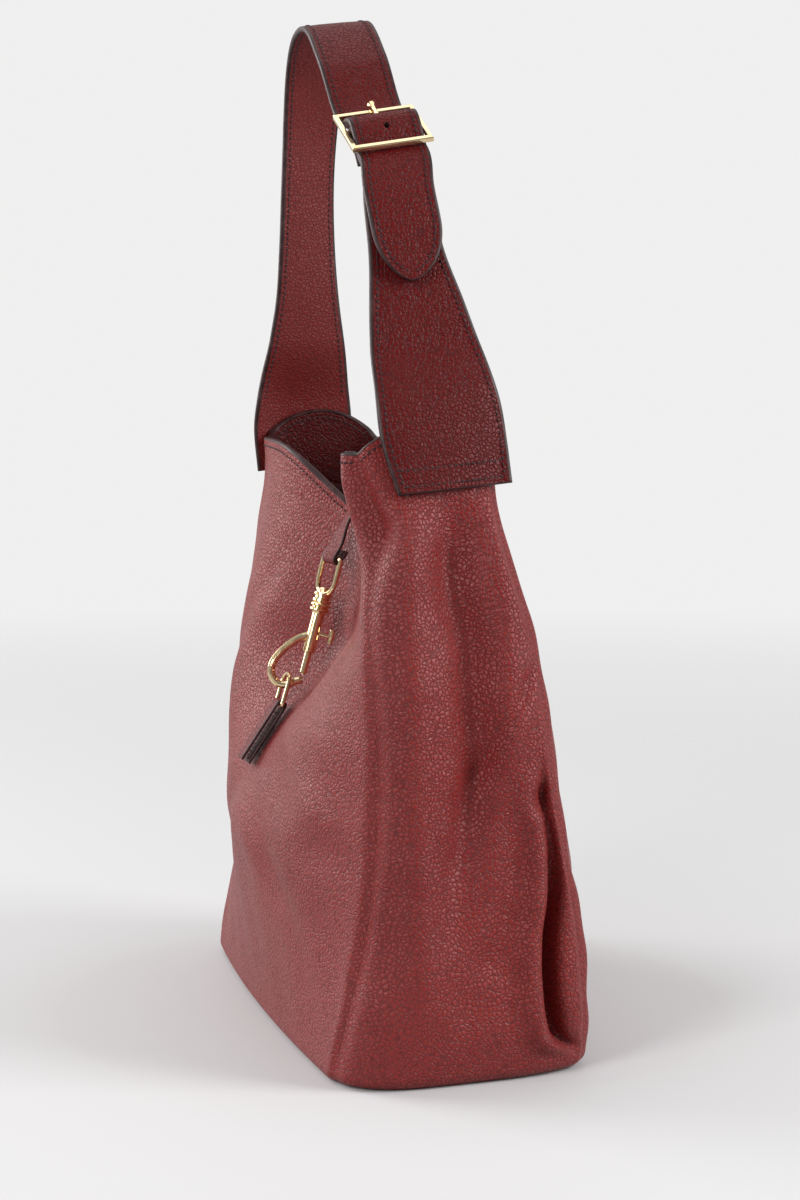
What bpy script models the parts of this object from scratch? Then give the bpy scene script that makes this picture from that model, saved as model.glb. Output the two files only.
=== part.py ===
"""A leather hobo bag with a buckled shoulder strap and a swivel clasp.

Metres, +Z up. The origin is the centre of the base on the surface that the bag stands on. +X runs
along the bag's width to the end that carries the buckle, and the front, with the clasp, faces -Y.
"""

import math

import bmesh
import bpy
import numpy as np
from mathutils import Matrix, Vector

# Driving dimensions
GAP = 0.0003
LEATHER = 0.0022
LINING = 0.0009
LINING_DEPTH = 0.0026
BOTTOM_RADIUS = 0.007
SEAM_HEIGHT = 0.334
FRONT_DIP = 0.0405
DIP_WIDTH = 0.33
BACK_DIP = 0.038
GUSSET_RISE = 0.017
BOARD = 0.0018

STRAP_PLY = 0.0015
STRAP_THICKNESS = 2 * STRAP_PLY + GAP
FLAP_WIDTH = 0.0394
SHORT_END_WIDTH = 0.038
TAB_TOP = 0.353
NECK_TOP = 0.396
TAB_BOTTOM = 0.3155
TAB_GAP = 0.0013
TAB_TILT = math.radians(5.0)

BUCKLE_CENTRE = Vector((0.0725, -0.0230, 0.5110))
BUCKLE_SLOPE = math.radians(32.0)
BUCKLE_LEAN = math.radians(9.0)
BUCKLE_WIDTH = 0.0460
BUCKLE_LENGTH = 0.0400
BUCKLE_BAR = 0.0034
BUCKLE_SIDE = 0.0026
BUCKLE_HEIGHT = 0.0030
CENTRE_BAR_RADIUS = 0.0015
PRONG_RADIUS = 0.0012
PRONG_REACH = 0.0227
PRONG_TIP_RADIUS = 0.0022
# The prong's cuts through the two straps: start and end up the buckle
PRONG_HOLE_REACH = (0.0015, 0.0160)
PRONG_SLOT_REACH = (-0.0056, 0.0060)
STATION_SPACING = 0.0065

CLOSURE_WIDTH = 0.0125
CLOSURE_PLY = 0.0018
# The closure strap's route from inside the back of the front panel, over the rim: y and z
CLOSURE_ROUTE = (
    (0.0232, 0.2560), (0.0232, 0.2700), (0.0195, 0.2860),
    (0.0080, 0.2975), (-0.0080, 0.3000), (-0.0195, 0.2978),
)
CLOSURE_SLOPE = Vector((0, -0.572, -0.820))
CLOSURE_TAIL = 0.0070
EYE_BAR = Vector((0.0, -0.0350, 0.2682))
CLASP_TILT = math.radians(15.0)
CLASP_TURN = math.radians(-15.0)
EYE_TURN = math.radians(20.0)
EYE_WIDTH = 0.021
EYE_WIRE = 0.0015
EYE_LENGTH = 0.0250
COLLAR_RADIUS = 0.0060
SWIVEL_DROP = 0.0274
BODY_RADIUS = 0.0037
BODY_END = 0.0298
BORE_RADIUS = 0.0024
BORE_START = 0.0055
BOLT_RADIUS = 0.0020
BOLT_START = 0.0145
BOLT_END = 0.0430
KNOB_PLACE = 0.0180
BOLT_TRAVEL = 0.007
CLAW_RADIUS = 0.0023
# The claw's centre line, from the body round to its nose under the bolt: outwards, and down from the collars
CLAW = (
    (0.0015, 0.0195), (0.0075, 0.0233), (0.0118, 0.0279), (0.0164, 0.0348), (0.0189, 0.0421),
    (0.0174, 0.0482), (0.0126, 0.0521), (0.0070, 0.0510), (0.0028, 0.0478), (-0.0008, 0.0463),
)
RING_WIDTH = 0.0187
RING_LENGTH = 0.0212
RING_WIRE = 0.00125
RING_BAR = Vector((0.0, -0.0675, 0.1828))
RING_UP = Vector((0, 0.284, 0.959))
RING_TAB_END = Vector((0.0, -0.0890, 0.1507))

# Leather, cloth, board and metal: colour, roughness, metallic
MATERIALS = {
    "bag_leather": ((0.235, 0.058, 0.055, 1.0), 0.48, 0.0),
    "strap_leather": ((0.110, 0.012, 0.013, 1.0), 0.42, 0.0),
    "edge_leather": ((0.030, 0.010, 0.010, 1.0), 0.50, 0.0),
    "lining_cloth": ((0.090, 0.020, 0.022, 1.0), 0.85, 0.0),
    "board": ((0.180, 0.150, 0.110, 1.0), 0.90, 0.0),
    "gold": ((0.860, 0.640, 0.340, 1.0), 0.16, 1.0),
    "steel": ((0.600, 0.600, 0.610, 1.0), 0.30, 1.0),
}

# Body sections from the base to the rim, in metres. The front and back are panels between seams:
# "front" and "back" are the seams' distances from the middle, the bulges are how far each panel
# stands out past its seams, and the hollows are where the closure and a dent pull it in.
SECTION_NAMES = (
    "z", "half", "front", "back", "front_bulge", "front_hollow", "dent",
    "back_bulge", "back_hollow", "gusset_bulge",
)
SECTIONS = np.array([
    [0.00, 0.160, 0.0755, 0.0690, 0.0055, 0.0000, 0.0000, 0.015, 0.0000, 0.019],
    [0.03, 0.163, 0.0690, 0.0685, 0.0130, 0.0000, 0.0000, 0.022, 0.0000, 0.018],
    [0.08, 0.164, 0.0575, 0.0635, 0.0310, 0.0000, 0.0000, 0.028, 0.0000, 0.010],
    [0.12, 0.163, 0.0520, 0.0565, 0.0415, 0.0000, 0.0020, 0.030, 0.0000, 0.007],
    [0.15, 0.161, 0.0495, 0.0510, 0.0455, 0.0110, 0.0100, 0.031, 0.0000, 0.006],
    [0.18, 0.159, 0.0490, 0.0480, 0.0475, 0.0345, 0.0123, 0.030, 0.0055, 0.006],
    [0.21, 0.156, 0.0500, 0.0447, 0.0400, 0.0570, 0.0250, 0.026, 0.0097, 0.006],
    [0.24, 0.151, 0.0515, 0.0400, 0.0285, 0.0505, 0.0480, 0.019, 0.0110, 0.006],
    [0.28, 0.142, 0.0500, 0.0295, 0.0150, 0.0425, 0.0370, 0.012, 0.0115, 0.007],
    [0.31, 0.134, 0.0480, 0.0245, 0.0080, 0.0385, 0.0134, 0.008, 0.0115, 0.007],
    [0.36, 0.126, 0.0520, 0.0300, 0.0050, 0.0390, 0.0040, 0.004, 0.0180, 0.008],
])
# The walls' rows, as shares of the way from the bottom edge to the rim. The facing takes the last ones.
ROW_SHARES = (0.0, 0.1, 0.2, 0.3, 0.4, 0.48, 0.56, 0.64, 0.72, 0.80, 0.87, 0.94, 1.0)
FACING_FROM = 0.87
EDGE_ANGLES = (0, 25, 50, 72)
HOLLOW_WIDTH = 0.34
DENT_PLACE = 0.58
DENT_WIDTH = 0.38
GUSSET_LEAN = 0.40

# Strap routes: x, y, z, width, lean and twist in degrees. Lean lifts the back edge, and twist
# turns the front edge towards +X.
RIGHT_LEG = np.array([
    [0.1365, 0.0005, 0.312, 0.0655, 5.0, 0.0],
    [0.1300, -0.0060, 0.347, 0.0710, 6.0, 0.0],
    [0.1210, -0.0100, 0.379, 0.0645, 7.0, 0.0],
    [0.1130, -0.0143, 0.411, 0.0540, 8.0, 0.0],
    [0.1050, -0.0185, 0.443, 0.0420, 8.5, 0.0],
    [0.0985, -0.0205, 0.468, 0.0395, 9.0, 0.0],
])
LEFT_LEG = np.array([
    [-0.1365, -0.0205, 0.312, 0.0620, 3.0, 0.0],
    [-0.1310, -0.0230, 0.347, 0.0640, 3.0, 2.0],
    [-0.1250, -0.0230, 0.373, 0.0570, 3.0, 5.0],
    [-0.1150, -0.0240, 0.420, 0.0430, 3.0, 12.0],
    [-0.1085, -0.0255, 0.455, 0.0400, 3.0, 20.0],
    [-0.1020, -0.0265, 0.487, 0.0400, 3.0, 25.0],
])
ARCH = np.array([
    [-0.0900, -0.0268, 0.528, 0.0400, 4.0, 22.0],
    [-0.0700, -0.0280, 0.5560, 0.0400, 5.0, 14.0],
    [-0.0390, -0.0300, 0.5735, 0.0400, 6.0, 5.0],
    [-0.0040, -0.0305, 0.5745, 0.0400, 7.0, 0.0],
    [0.0260, -0.0290, 0.5530, 0.0400, 8.5, 0.0],
])
# The long strap's way through the buckle, in the buckle's own frame: along the slope and outwards
BUCKLE_WEAVE = (
    (0.0215, -0.0050), (0.0168, -0.0045), (0.0095, 0.0020), (0.0000, 0.0067),
    (-0.0095, 0.0020), (-0.0168, -0.0045), (-0.0215, -0.0050),
)
# The short strap's way under the long one to the centre bar, in the same frame
BUCKLE_APPROACH = ((-0.0215, -0.0092), (-0.0150, -0.0078), (-0.0080, -0.0020))
FLAP = np.array([
    [0.1000, -0.0214, 0.4780, FLAP_WIDTH, 9.0, 0.0],
    [0.1085, -0.0190, 0.4550, FLAP_WIDTH, 9.0, 0.0],
    [0.1155, -0.0172, 0.4265, FLAP_WIDTH, 9.0, 0.0],
])
FLAP_POINT = 0.032


# ---------------------------------------------------------------- small helpers

def smooth_row(table, value, column=0):
    """The table's row where a rising column has this value, on a smooth curve through its rows."""
    keys = table[:, column]
    value = min(max(value, keys[0]), keys[-1])
    after = min(max(int(np.searchsorted(keys, value)), 1), len(keys) - 1)
    before = after - 1
    span = keys[after] - keys[before]
    t = (value - keys[before]) / span
    slopes = np.gradient(table, keys, axis=0)
    return (
        (1 + 2 * t) * (1 - t) ** 2 * table[before]
        + t * (1 - t) ** 2 * span * slopes[before]
        + t * t * (3 - 2 * t) * table[after]
        - t * t * (1 - t) * span * slopes[after]
    )


def smoothstep(low, high, value):
    t = min(max((value - low) / (high - low), 0.0), 1.0)
    return t * t * (3 - 2 * t)


def material(name):
    found = bpy.data.materials.get(name)
    if found:
        return found
    colour, roughness, metallic = MATERIALS[name]
    made = bpy.data.materials.new(name)
    made.use_nodes = True
    shader = made.node_tree.nodes["Principled BSDF"]
    shader.inputs["Base Color"].default_value = colour
    shader.inputs["Roughness"].default_value = roughness
    shader.inputs["Metallic"].default_value = metallic
    made.diffuse_color = colour
    return made


def finish(name, bm, material_name, parent=None, sharp=40.0):
    """The object made from a bmesh, with its faces turned out and shaded smooth."""
    bmesh.ops.recalc_face_normals(bm, faces=bm.faces)
    mesh = bpy.data.meshes.new(name)
    bm.to_mesh(mesh)
    bm.free()
    mesh.shade_smooth()
    mesh.set_sharp_from_angle(angle=math.radians(sharp))
    made = bpy.data.objects.new(name, mesh)
    made.data.materials.append(material(material_name))
    bpy.context.scene.collection.objects.link(made)
    if parent:
        made.parent = parent
        made.matrix_parent_inverse = parent.matrix_world.inverted()
    return made


def pivot(name, location):
    """An empty on a joint's axis, which the moving pieces are parented to."""
    made = bpy.data.objects.new(name, None)
    made.empty_display_size = 0.01
    made.location = location
    bpy.context.scene.collection.objects.link(made)
    bpy.context.view_layer.update()
    return made


def sheet(outer, inner):
    """A closed bmesh between two equal grids of points, each a list of columns."""
    bm = bmesh.new()
    faces = [[[bm.verts.new(p) for p in column] for column in side] for side in (outer, inner)]
    columns, rows = len(outer), len(outer[0])
    for grid in faces:
        for i in range(columns - 1):
            for j in range(rows - 1):
                bm.faces.new((grid[i][j], grid[i + 1][j], grid[i + 1][j + 1], grid[i][j + 1]))
    a, b = faces
    for i in range(columns - 1):
        for j in (0, rows - 1):
            bm.faces.new((a[i][j], a[i + 1][j], b[i + 1][j], b[i][j]))
    for j in range(rows - 1):
        for i in (0, columns - 1):
            bm.faces.new((a[i][j], a[i][j + 1], b[i][j + 1], b[i][j]))
    return bm


def rings_to_mesh(rings, closed=False):
    """A closed bmesh through rings of points: capped at both ends, or joined end to end."""
    bm = bmesh.new()
    loops = [[bm.verts.new(p) for p in ring] for ring in rings]
    count = len(loops[0])
    following = loops[1:] + (loops[:1] if closed else [])
    for one, two in zip(loops, following):
        for k in range(count):
            n = (k + 1) % count
            bm.faces.new((one[k], one[n], two[n], two[k]))
    if not closed:
        bm.faces.new(loops[0])
        bm.faces.new(loops[-1])
    return bm


def tube_rings(points, radii, side, sides, closed=False):
    """Rings round a flat path. Side is the direction square to the plane that the path lies in."""
    rings = []
    last = len(points) - 1
    for i, point in enumerate(points):
        before = points[i - 1] if i or closed else point
        after = points[(i + 1) % len(points)] if i < last or closed else point
        tangent = (after - before).normalized()
        across = side.normalized()
        up = tangent.cross(across).normalized()
        angles = [2 * math.pi * k / sides for k in range(sides)]
        rings.append([point + radii[i] * (math.cos(a) * across + math.sin(a) * up) for a in angles])
    return rings


def turned(profile, sides):
    """A closed turned body about Z from (radius, z) pairs that start and end on the axis."""
    bm = bmesh.new()
    angles = [2 * math.pi * k / sides for k in range(sides)]
    rings = []
    for radius, z in profile:
        if radius == 0:
            rings.append([bm.verts.new((0, 0, z))])
        else:
            circle = [(radius * math.cos(a), radius * math.sin(a), z) for a in angles]
            rings.append([bm.verts.new(spot) for spot in circle])
    for one, two in zip(rings, rings[1:]):
        for k in range(sides):
            n = (k + 1) % sides
            if len(one) == 1:
                bm.faces.new((one[0], two[n], two[k]))
            elif len(two) == 1:
                bm.faces.new((one[k], one[n], two[0]))
            else:
                bm.faces.new((one[k], one[n], two[n], two[k]))
    return bm


def boolean(target, cutter_bm, name, operation="DIFFERENCE"):
    """Cuts or joins a shape given in the target's own frame, and applies it."""
    bmesh.ops.recalc_face_normals(cutter_bm, faces=cutter_bm.faces)
    mesh = bpy.data.meshes.new(name)
    cutter_bm.to_mesh(mesh)
    cutter_bm.free()
    cutter = bpy.data.objects.new(name, mesh)
    bpy.context.scene.collection.objects.link(cutter)
    cutter.matrix_world = target.matrix_world
    modifier = target.modifiers.new(name, "BOOLEAN")
    modifier.operation = operation
    modifier.solver = "EXACT"
    modifier.object = cutter
    bpy.context.view_layer.update()
    graph = bpy.context.evaluated_depsgraph_get()
    joined = bpy.data.meshes.new_from_object(target.evaluated_get(graph))
    target.modifiers.remove(modifier)
    target.data = joined
    joined.shade_smooth()
    joined.set_sharp_from_angle(angle=math.radians(40))
    bpy.data.objects.remove(cutter)


def box_bm(low, high):
    bm = bmesh.new()
    middle = [(a + b) / 2 for a, b in zip(low, high)]
    size = [b - a for a, b in zip(low, high)]
    matrix = Matrix.Translation(middle) @ Matrix.Diagonal((*size, 1.0))
    bmesh.ops.create_cube(bm, size=1.0, matrix=matrix)
    return bm


def place(bm, matrix):
    bmesh.ops.transform(bm, matrix=matrix, verts=bm.verts)
    return bm


# ---------------------------------------------------------------- the bag's walls

def section(z):
    return dict(zip(SECTION_NAMES, smooth_row(SECTIONS, z)))


def rim_height(side, u):
    if side == "front":
        return SEAM_HEIGHT - FRONT_DIP * math.exp(-((u / DIP_WIDTH) ** 2))
    return SEAM_HEIGHT + (1 - u * u) * (-BACK_DIP if side == "back" else GUSSET_RISE)


def wall_point(side, u, z, inset):
    """A point on a wall: u runs from -1 to 1 between its seams, and inset is the depth under its outer face."""
    s = section(z)
    if side in ("front", "back"):
        fold = 1 - u * u
        hollow = math.exp(-((u / HOLLOW_WIDTH) ** 2)) * s[side + "_hollow"]
        reach = s[side] + fold * s[side + "_bulge"] - hollow - inset
        if side == "front":
            reach -= s["dent"] * fold * math.exp(-(((u - DENT_PLACE) / DENT_WIDTH) ** 2))
        return Vector((u * (s["half"] - inset), -reach if side == "front" else reach, z))
    front, back = -(s["front"] - inset), s["back"] - inset
    reach = s["half"] - inset + (1 - u**4) * (1 - GUSSET_LEAN * u) * s["gusset_bulge"]
    y = (front + back) / 2 + u * (back - front) / 2
    return Vector((reach if side == "right" else -reach, y, z))


def wall_column(side, u, inset, shares):
    """Points up a wall at some of the row shares. A share of 0 begins under the base, round its edge."""
    points = []
    if shares[0] == 0.0:
        for degrees in EDGE_ANGLES:
            angle = math.radians(degrees)
            lift = BOTTOM_RADIUS - (BOTTOM_RADIUS - inset) * math.cos(angle)
            moved = BOTTOM_RADIUS - (BOTTOM_RADIUS - inset) * math.sin(angle)
            points.append(wall_point(side, u, lift, moved))
    rise = rim_height(side, u) - BOTTOM_RADIUS
    points += [wall_point(side, u, BOTTOM_RADIUS + rise * share, inset) for share in shares]
    return points


def wall(name, side, inset, thickness, shares, columns, material_name):
    """One wall of the bag, or its facing or lining, as a sheet at a depth below the outer face."""
    width = 0.16 if side in ("front", "back") else 0.045
    edge = 1 - GAP / width
    grids = []
    for depth in (inset, inset + thickness):
        places = [edge * (2 * k / columns - 1) for k in range(columns + 1)]
        grids.append([wall_column(side, u, depth, shares) for u in places])
    return finish(name, sheet(*grids), material_name)


def floor_plate(name, inset, bottom, top, material_name):
    """A flat plate whose outline follows the four walls at one inset."""
    outline = []
    for side, turn in (("front", 1), ("right", 1), ("back", -1), ("left", -1)):
        count = 12 if side in ("front", "back") else 5
        for k in range(count):
            outline.append(wall_point(side, turn * (2 * k / count - 1), 0.0, inset))
    rings = [[Vector((p.x, p.y, z)) for p in outline] for z in (bottom, top)]
    return finish(name, rings_to_mesh(rings), material_name)


def make_body():
    facing_shares = [FACING_FROM + 0.001]
    facing_shares += [share for share in ROW_SHARES if FACING_FROM < share < 1]
    facing_shares += [0.998]
    lining_shares = [share for share in ROW_SHARES if share < FACING_FROM]
    lining_shares += [FACING_FROM - 0.001]
    for side, shell, columns in (
        ("front", "front_panel", 20),
        ("back", "back_panel", 14),
        ("right", "right_gusset", 6),
        ("left", "left_gusset", 6),
    ):
        wall(shell, side, 0.0, LEATHER, ROW_SHARES, columns, "bag_leather")
        wall("facing_" + side, side, LINING_DEPTH, LEATHER / 2, facing_shares, columns, "edge_leather")
        wall("lining_" + side, side, LINING_DEPTH, LINING, lining_shares, columns, "lining_cloth")
    floor_plate("base_panel", BOTTOM_RADIUS + 4 * GAP, 0.0, LEATHER, "bag_leather")
    board_bottom = LEATHER + GAP
    board_top = board_bottom + BOARD
    floor_plate("base_board", BOTTOM_RADIUS + 0.002, board_bottom, board_top, "board")
    cloth_bottom = board_top + GAP
    floor_plate("lining_base", BOTTOM_RADIUS + 0.001, cloth_bottom, cloth_bottom + LINING, "lining_cloth")


# ---------------------------------------------------------------- the strap

def direction_across(lean, twist):
    """The direction across a strap, from its front edge to its back edge."""
    lean, twist = math.radians(lean), math.radians(twist)
    return Vector((-math.sin(twist) * math.cos(lean), math.cos(twist) * math.cos(lean), math.sin(lean)))


def path_frames(table, spacing):
    """Stations on a smooth curve through a route: (place, width, across, outward)."""
    steps = np.linalg.norm(np.diff(table[:, :3], axis=0), axis=1)
    keyed = np.column_stack([np.concatenate([[0.0], np.cumsum(steps)]), table])
    lengths = [0.0]
    for start, step in zip(keyed[:, 0], steps):
        count = max(2, round(step / spacing))
        lengths += [start + step * k / count for k in range(1, count + 1)]
    rows = [smooth_row(keyed, length) for length in lengths]
    places = [Vector(row[1:4]) for row in rows]
    last = len(rows) - 1
    frames = []
    for k, row in enumerate(rows):
        tangent = (places[min(k + 1, last)] - places[max(k - 1, 0)]).normalized()
        across = direction_across(row[5], row[6])
        across = (across - across.dot(tangent) * tangent).normalized()
        frames.append((places[k], row[4], across, tangent.cross(across)))
    return frames


def ribbon(frames, low, high, stations=1):
    """A closed strip along a path, between two heights over the path's own surface."""
    grids = []
    for height in (high, low):
        grid = []
        for k in range(stations + 1):
            w = 2 * k / stations - 1
            grid.append([
                place + across * w * width / 2 + outward * height
                for place, width, across, outward in frames
            ])
        grids.append(grid)
    return sheet(*grids)


def leg_point(side, table, z, w, height):
    """A point of a strap leg that lies on the gusset low down and becomes a free ribbon above it."""
    row = smooth_row(table, z, column=2)
    ahead = smooth_row(table, z + 0.002, column=2)
    behind = smooth_row(table, z - 0.002, column=2)
    tangent = Vector(ahead[:3] - behind[:3]).normalized()
    across = direction_across(row[4], row[5])
    across = (across - across.dot(tangent) * tangent).normalized()
    outward = across.cross(tangent) if side == "right" else tangent.cross(across)
    free = Vector(row[:3]) + across * w * row[3] / 2 + outward * (height - STRAP_THICKNESS / 2)
    y = row[1] + w * row[3] / 2
    wall_z = z + w * row[3] / 2 * math.tan(TAB_TILT)
    s = section(min(wall_z, rim_height(side, 0)))
    u = (2 * y + s["front"] - s["back"]) / (s["front"] + s["back"])
    lying = wall_point(side, min(max(u, -1.0), 1.0), wall_z, -(TAB_GAP + height))
    lying.y = y
    return lying.lerp(free, smoothstep(TAB_TOP - 0.010, NECK_TOP, z))


def leg_part(name, side, table, low, high, rows, columns):
    """One length of a strap leg, both plies together, between two heights."""
    heights = (0.0, STRAP_THICKNESS)
    levels = [low + (high - low) * j / rows for j in range(rows + 1)]
    grids = []
    for height in heights:
        places = [2 * k / columns - 1 for k in range(columns + 1)]
        grids.append([[leg_point(side, table, z, w, height) for z in levels] for w in places])
    return finish(name, sheet(*grids), "strap_leather")


def buckle_matrix():
    """The buckle's frame: x across the strap, y up along it, z outwards."""
    across = Vector((0, math.cos(BUCKLE_LEAN), math.sin(BUCKLE_LEAN)))
    rise, run = math.sin(BUCKLE_SLOPE), math.cos(BUCKLE_SLOPE)
    along = Vector((-run, -rise * across.z, rise * across.y))
    outward = across.cross(along)
    turned_frame = Matrix((across, along, outward)).transposed()
    return Matrix.Translation(BUCKLE_CENTRE) @ turned_frame.to_4x4()


def buckle_row(along, outward, width=FLAP_WIDTH):
    """A row of a strap route at a spot in the buckle's frame."""
    place = buckle_matrix() @ Vector((0, along, outward))
    return [*place, width, math.degrees(BUCKLE_LEAN), 0.0]


def narrowed_to_point(frames):
    """The same stations with the last stretch of the strap drawn in to a rounded point."""
    end = frames[-1][0]
    result = []
    for place, width, across, outward in frames:
        left = (end - place).length
        if left < FLAP_POINT:
            share = left / FLAP_POINT
            width = max(width * math.sin(math.pi / 2 * share ** 0.62), 0.004)
        result.append((place, width, across, outward))
    return result


def make_strap(handle):
    for side, table in (("right", RIGHT_LEG), ("left", LEFT_LEG)):
        leg_part("strap_tab_" + side, side, table, TAB_BOTTOM, TAB_TOP - 0.002, 4, 6)
        leg_part("strap_neck_" + side, side, table, TAB_TOP - 0.0015, NECK_TOP - 0.0004, 6, 6)

    left_start = smooth_row(LEFT_LEG, NECK_TOP, column=2)
    left_rows = LEFT_LEG[LEFT_LEG[:, 2] > NECK_TOP]
    weave = [buckle_row(*spot) for spot in BUCKLE_WEAVE]
    long_route = np.array([left_start, *left_rows, *ARCH, *weave, *FLAP])
    long_frames = narrowed_to_point(path_frames(long_route, STATION_SPACING))

    right_start = smooth_row(RIGHT_LEG, NECK_TOP, column=2)
    right_rows = RIGHT_LEG[RIGHT_LEG[:, 2] > NECK_TOP]
    approach = [buckle_row(*spot, SHORT_END_WIDTH) for spot in BUCKLE_APPROACH]
    short_route = np.array([right_start, *right_rows, *approach])
    short_frames = [
        (place, width, across, -outward)
        for place, width, across, outward in path_frames(short_route, STATION_SPACING)
    ]

    plies = {"lining": (0.0, STRAP_PLY), "outer": (STRAP_PLY + GAP, STRAP_THICKNESS)}
    for ply, (low, high) in plies.items():
        low, high = low - STRAP_THICKNESS / 2, high - STRAP_THICKNESS / 2
        strap = finish("long_strap_" + ply, ribbon(long_frames, low, high), "strap_leather", handle)
        cut_for_prong(strap, PRONG_HOLE_REACH)
        frames = short_frames + (turned_end() if ply == "outer" else [])
        strap = finish("short_strap_" + ply, ribbon(frames, low, high), "strap_leather", handle)
        cut_for_prong(strap, PRONG_SLOT_REACH)


def cut_for_prong(strap, reach):
    """A slot through a strap for the prong: reach is its start and end up the buckle."""
    half = PRONG_RADIUS + 2 * GAP
    cutter = box_bm((-half, reach[0], -0.0062), (half, reach[1], 0.0120))
    matrix = strap.matrix_world.inverted() @ buckle_matrix()
    boolean(strap, place(cutter, matrix), "prong_slot")


def turned_end():
    """Stations that take the short strap's outer ply over the centre bar and back under itself."""
    matrix = buckle_matrix()
    turn = matrix.to_3x3()
    middle = (STRAP_PLY + GAP) / 2
    radius = CENTRE_BAR_RADIUS + GAP + STRAP_PLY / 2 - middle
    spots = []
    for degrees in range(140, -101, -20):
        angle = math.radians(degrees)
        spots.append((radius * math.cos(angle), radius * math.sin(angle), degrees))
    for along, outward in ((-0.0050, -0.0060), (-0.0100, -0.0092), (-0.0150, -0.0128)):
        spots.append((along, outward, -125))
    frames = []
    across = turn @ Vector((1, 0, 0))
    for along, outward, degrees in spots:
        away = Vector((0, math.cos(math.radians(degrees)), math.sin(math.radians(degrees))))
        spot = matrix @ Vector((0, along, outward))
        frames.append((spot, SHORT_END_WIDTH, across, turn @ away))
    return frames


# ---------------------------------------------------------------- the buckle

def mitred_frame(width, length, side_bar, end_bar, height, bevel):
    """A flat rectangular frame about the origin, with rounded bars and mitred corners."""
    high = height / 2
    edge_radius = 0.0006
    turns = [math.radians(22.5 * k) for k in range(16)]
    rings = []
    for sx, sy in ((1, 1), (-1, 1), (-1, -1), (1, -1)):
        ring = []
        for a in turns:
            across = math.copysign(1 - bevel, math.cos(a)) + bevel * math.cos(a)
            up = math.copysign(high - edge_radius, math.sin(a)) + edge_radius * math.sin(a)
            x = sx * (width / 2 - side_bar / 2 * (1 - across))
            y = sy * (length / 2 - end_bar / 2 * (1 - across))
            ring.append(Vector((x, y, up)))
        rings.append(ring)
    return rings_to_mesh(rings, closed=True)


def arc(centre, radius, start, stop, steps):
    """Points on an arc in the y, z plane, angles in degrees from +y towards +z."""
    angles = [math.radians(start + (stop - start) * k / steps) for k in range(steps + 1)]
    return [Vector((0, centre[0] + radius * math.cos(a), centre[1] + radius * math.sin(a))) for a in angles]


def make_buckle(handle, prong_pivot):
    matrix = buckle_matrix()
    frame = mitred_frame(BUCKLE_WIDTH, BUCKLE_LENGTH, BUCKLE_SIDE, BUCKLE_BAR, BUCKLE_HEIGHT, 0.35)
    finish("buckle_frame", place(frame, matrix), "gold", handle)

    reach = BUCKLE_WIDTH / 2 - BUCKLE_SIDE - GAP
    ends = [Vector((-reach, 0, 0)), Vector((reach, 0, 0))]
    bar = rings_to_mesh(tube_rings(ends, [CENTRE_BAR_RADIUS] * 2, Vector((0, 0, 1)), 16))
    finish("buckle_bar", place(bar, matrix), "gold", handle)

    rest = BUCKLE_HEIGHT / 2 + GAP + PRONG_RADIUS
    loop = CENTRE_BAR_RADIUS + 0.0002 + PRONG_RADIUS
    wrap = arc((0, 0), loop, -60, -270, 12)
    shank_y = [0.004, 0.009, 0.0140, 0.0180]
    shank_y += [PRONG_REACH + step for step in (-0.0016, 0.0, 0.0017, 0.0022)]
    shank = [Vector((0, y, loop + (rest - loop) * min(y / 0.016, 1.0))) for y in shank_y]
    radii = [PRONG_RADIUS] * (len(wrap) + 4) + [0.0017, PRONG_TIP_RADIUS, 0.0016, 0.0006]
    prong = rings_to_mesh(tube_rings(wrap + shank, radii, Vector((1, 0, 0)), 12))
    finish("buckle_prong", place(prong, matrix), "gold", prong_pivot)


# ---------------------------------------------------------------- the clasp

def folded_strip(path, width, thickness):
    """A strip of leather across X, along a path in the y, z plane."""
    outer, inner = [], []
    for i, point in enumerate(path):
        tangent = (path[min(i + 1, len(path) - 1)] - path[max(i - 1, 0)]).normalized()
        normal = tangent.cross(Vector((1, 0, 0)))
        outer.append(point + normal * thickness / 2)
        inner.append(point - normal * thickness / 2)
    edges = [Vector((x, 0, 0)) for x in (-width / 2, width / 2)]
    grids = [[[point + edge for point in side] for edge in edges] for side in (outer, inner)]
    return sheet(*grids)


def curve_points(knots, steps):
    """A smooth curve in the y, z plane through a few knots."""
    table = np.array([[0.0, y, z] for y, z in knots])
    table[1:, 0] = np.cumsum(np.linalg.norm(np.diff(table[:, 1:], axis=0), axis=1))
    rows = [smooth_row(table, table[-1, 0] * k / steps) for k in range(steps + 1)]
    return [Vector((0, row[1], row[2])) for row in rows]


def turn_round_bar(bar, arriving, radius, steps=8):
    """Half a turn round a bar in the y, z plane, from the outer layer of a fold to its inner layer."""
    side = Vector((0, arriving.z, -arriving.y))
    return [
        bar + radius * (math.cos(math.pi * k / steps) * side + math.sin(math.pi * k / steps) * arriving)
        for k in range(steps + 1)
    ]


def rounded_loop(width, length, bar_corner, far_corner, wire, sides=12):
    """A wire loop in the x, z plane: its straight bar's centre line is at the origin and it hangs down."""
    half = width / 2 - wire
    bottom = -(length - 2 * wire)
    points = []
    corners = ((half, 0, 90), (-half, 0, 180), (-half, bottom, 270), (half, bottom, 360))
    for x, z, end in corners:
        corner = bar_corner if z == 0 else far_corner
        cx = x - math.copysign(corner, x)
        cz = z - corner if z == 0 else z + corner
        first = end - 90
        for k in range(5):
            a = math.radians(first + 22.5 * k)
            points.append(Vector((cx + corner * math.cos(a), 0, cz + corner * math.sin(a))))
    rings = tube_rings(points, [wire] * len(points), Vector((0, 1, 0)), sides, closed=True)
    return rings_to_mesh(rings, closed=True)


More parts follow.
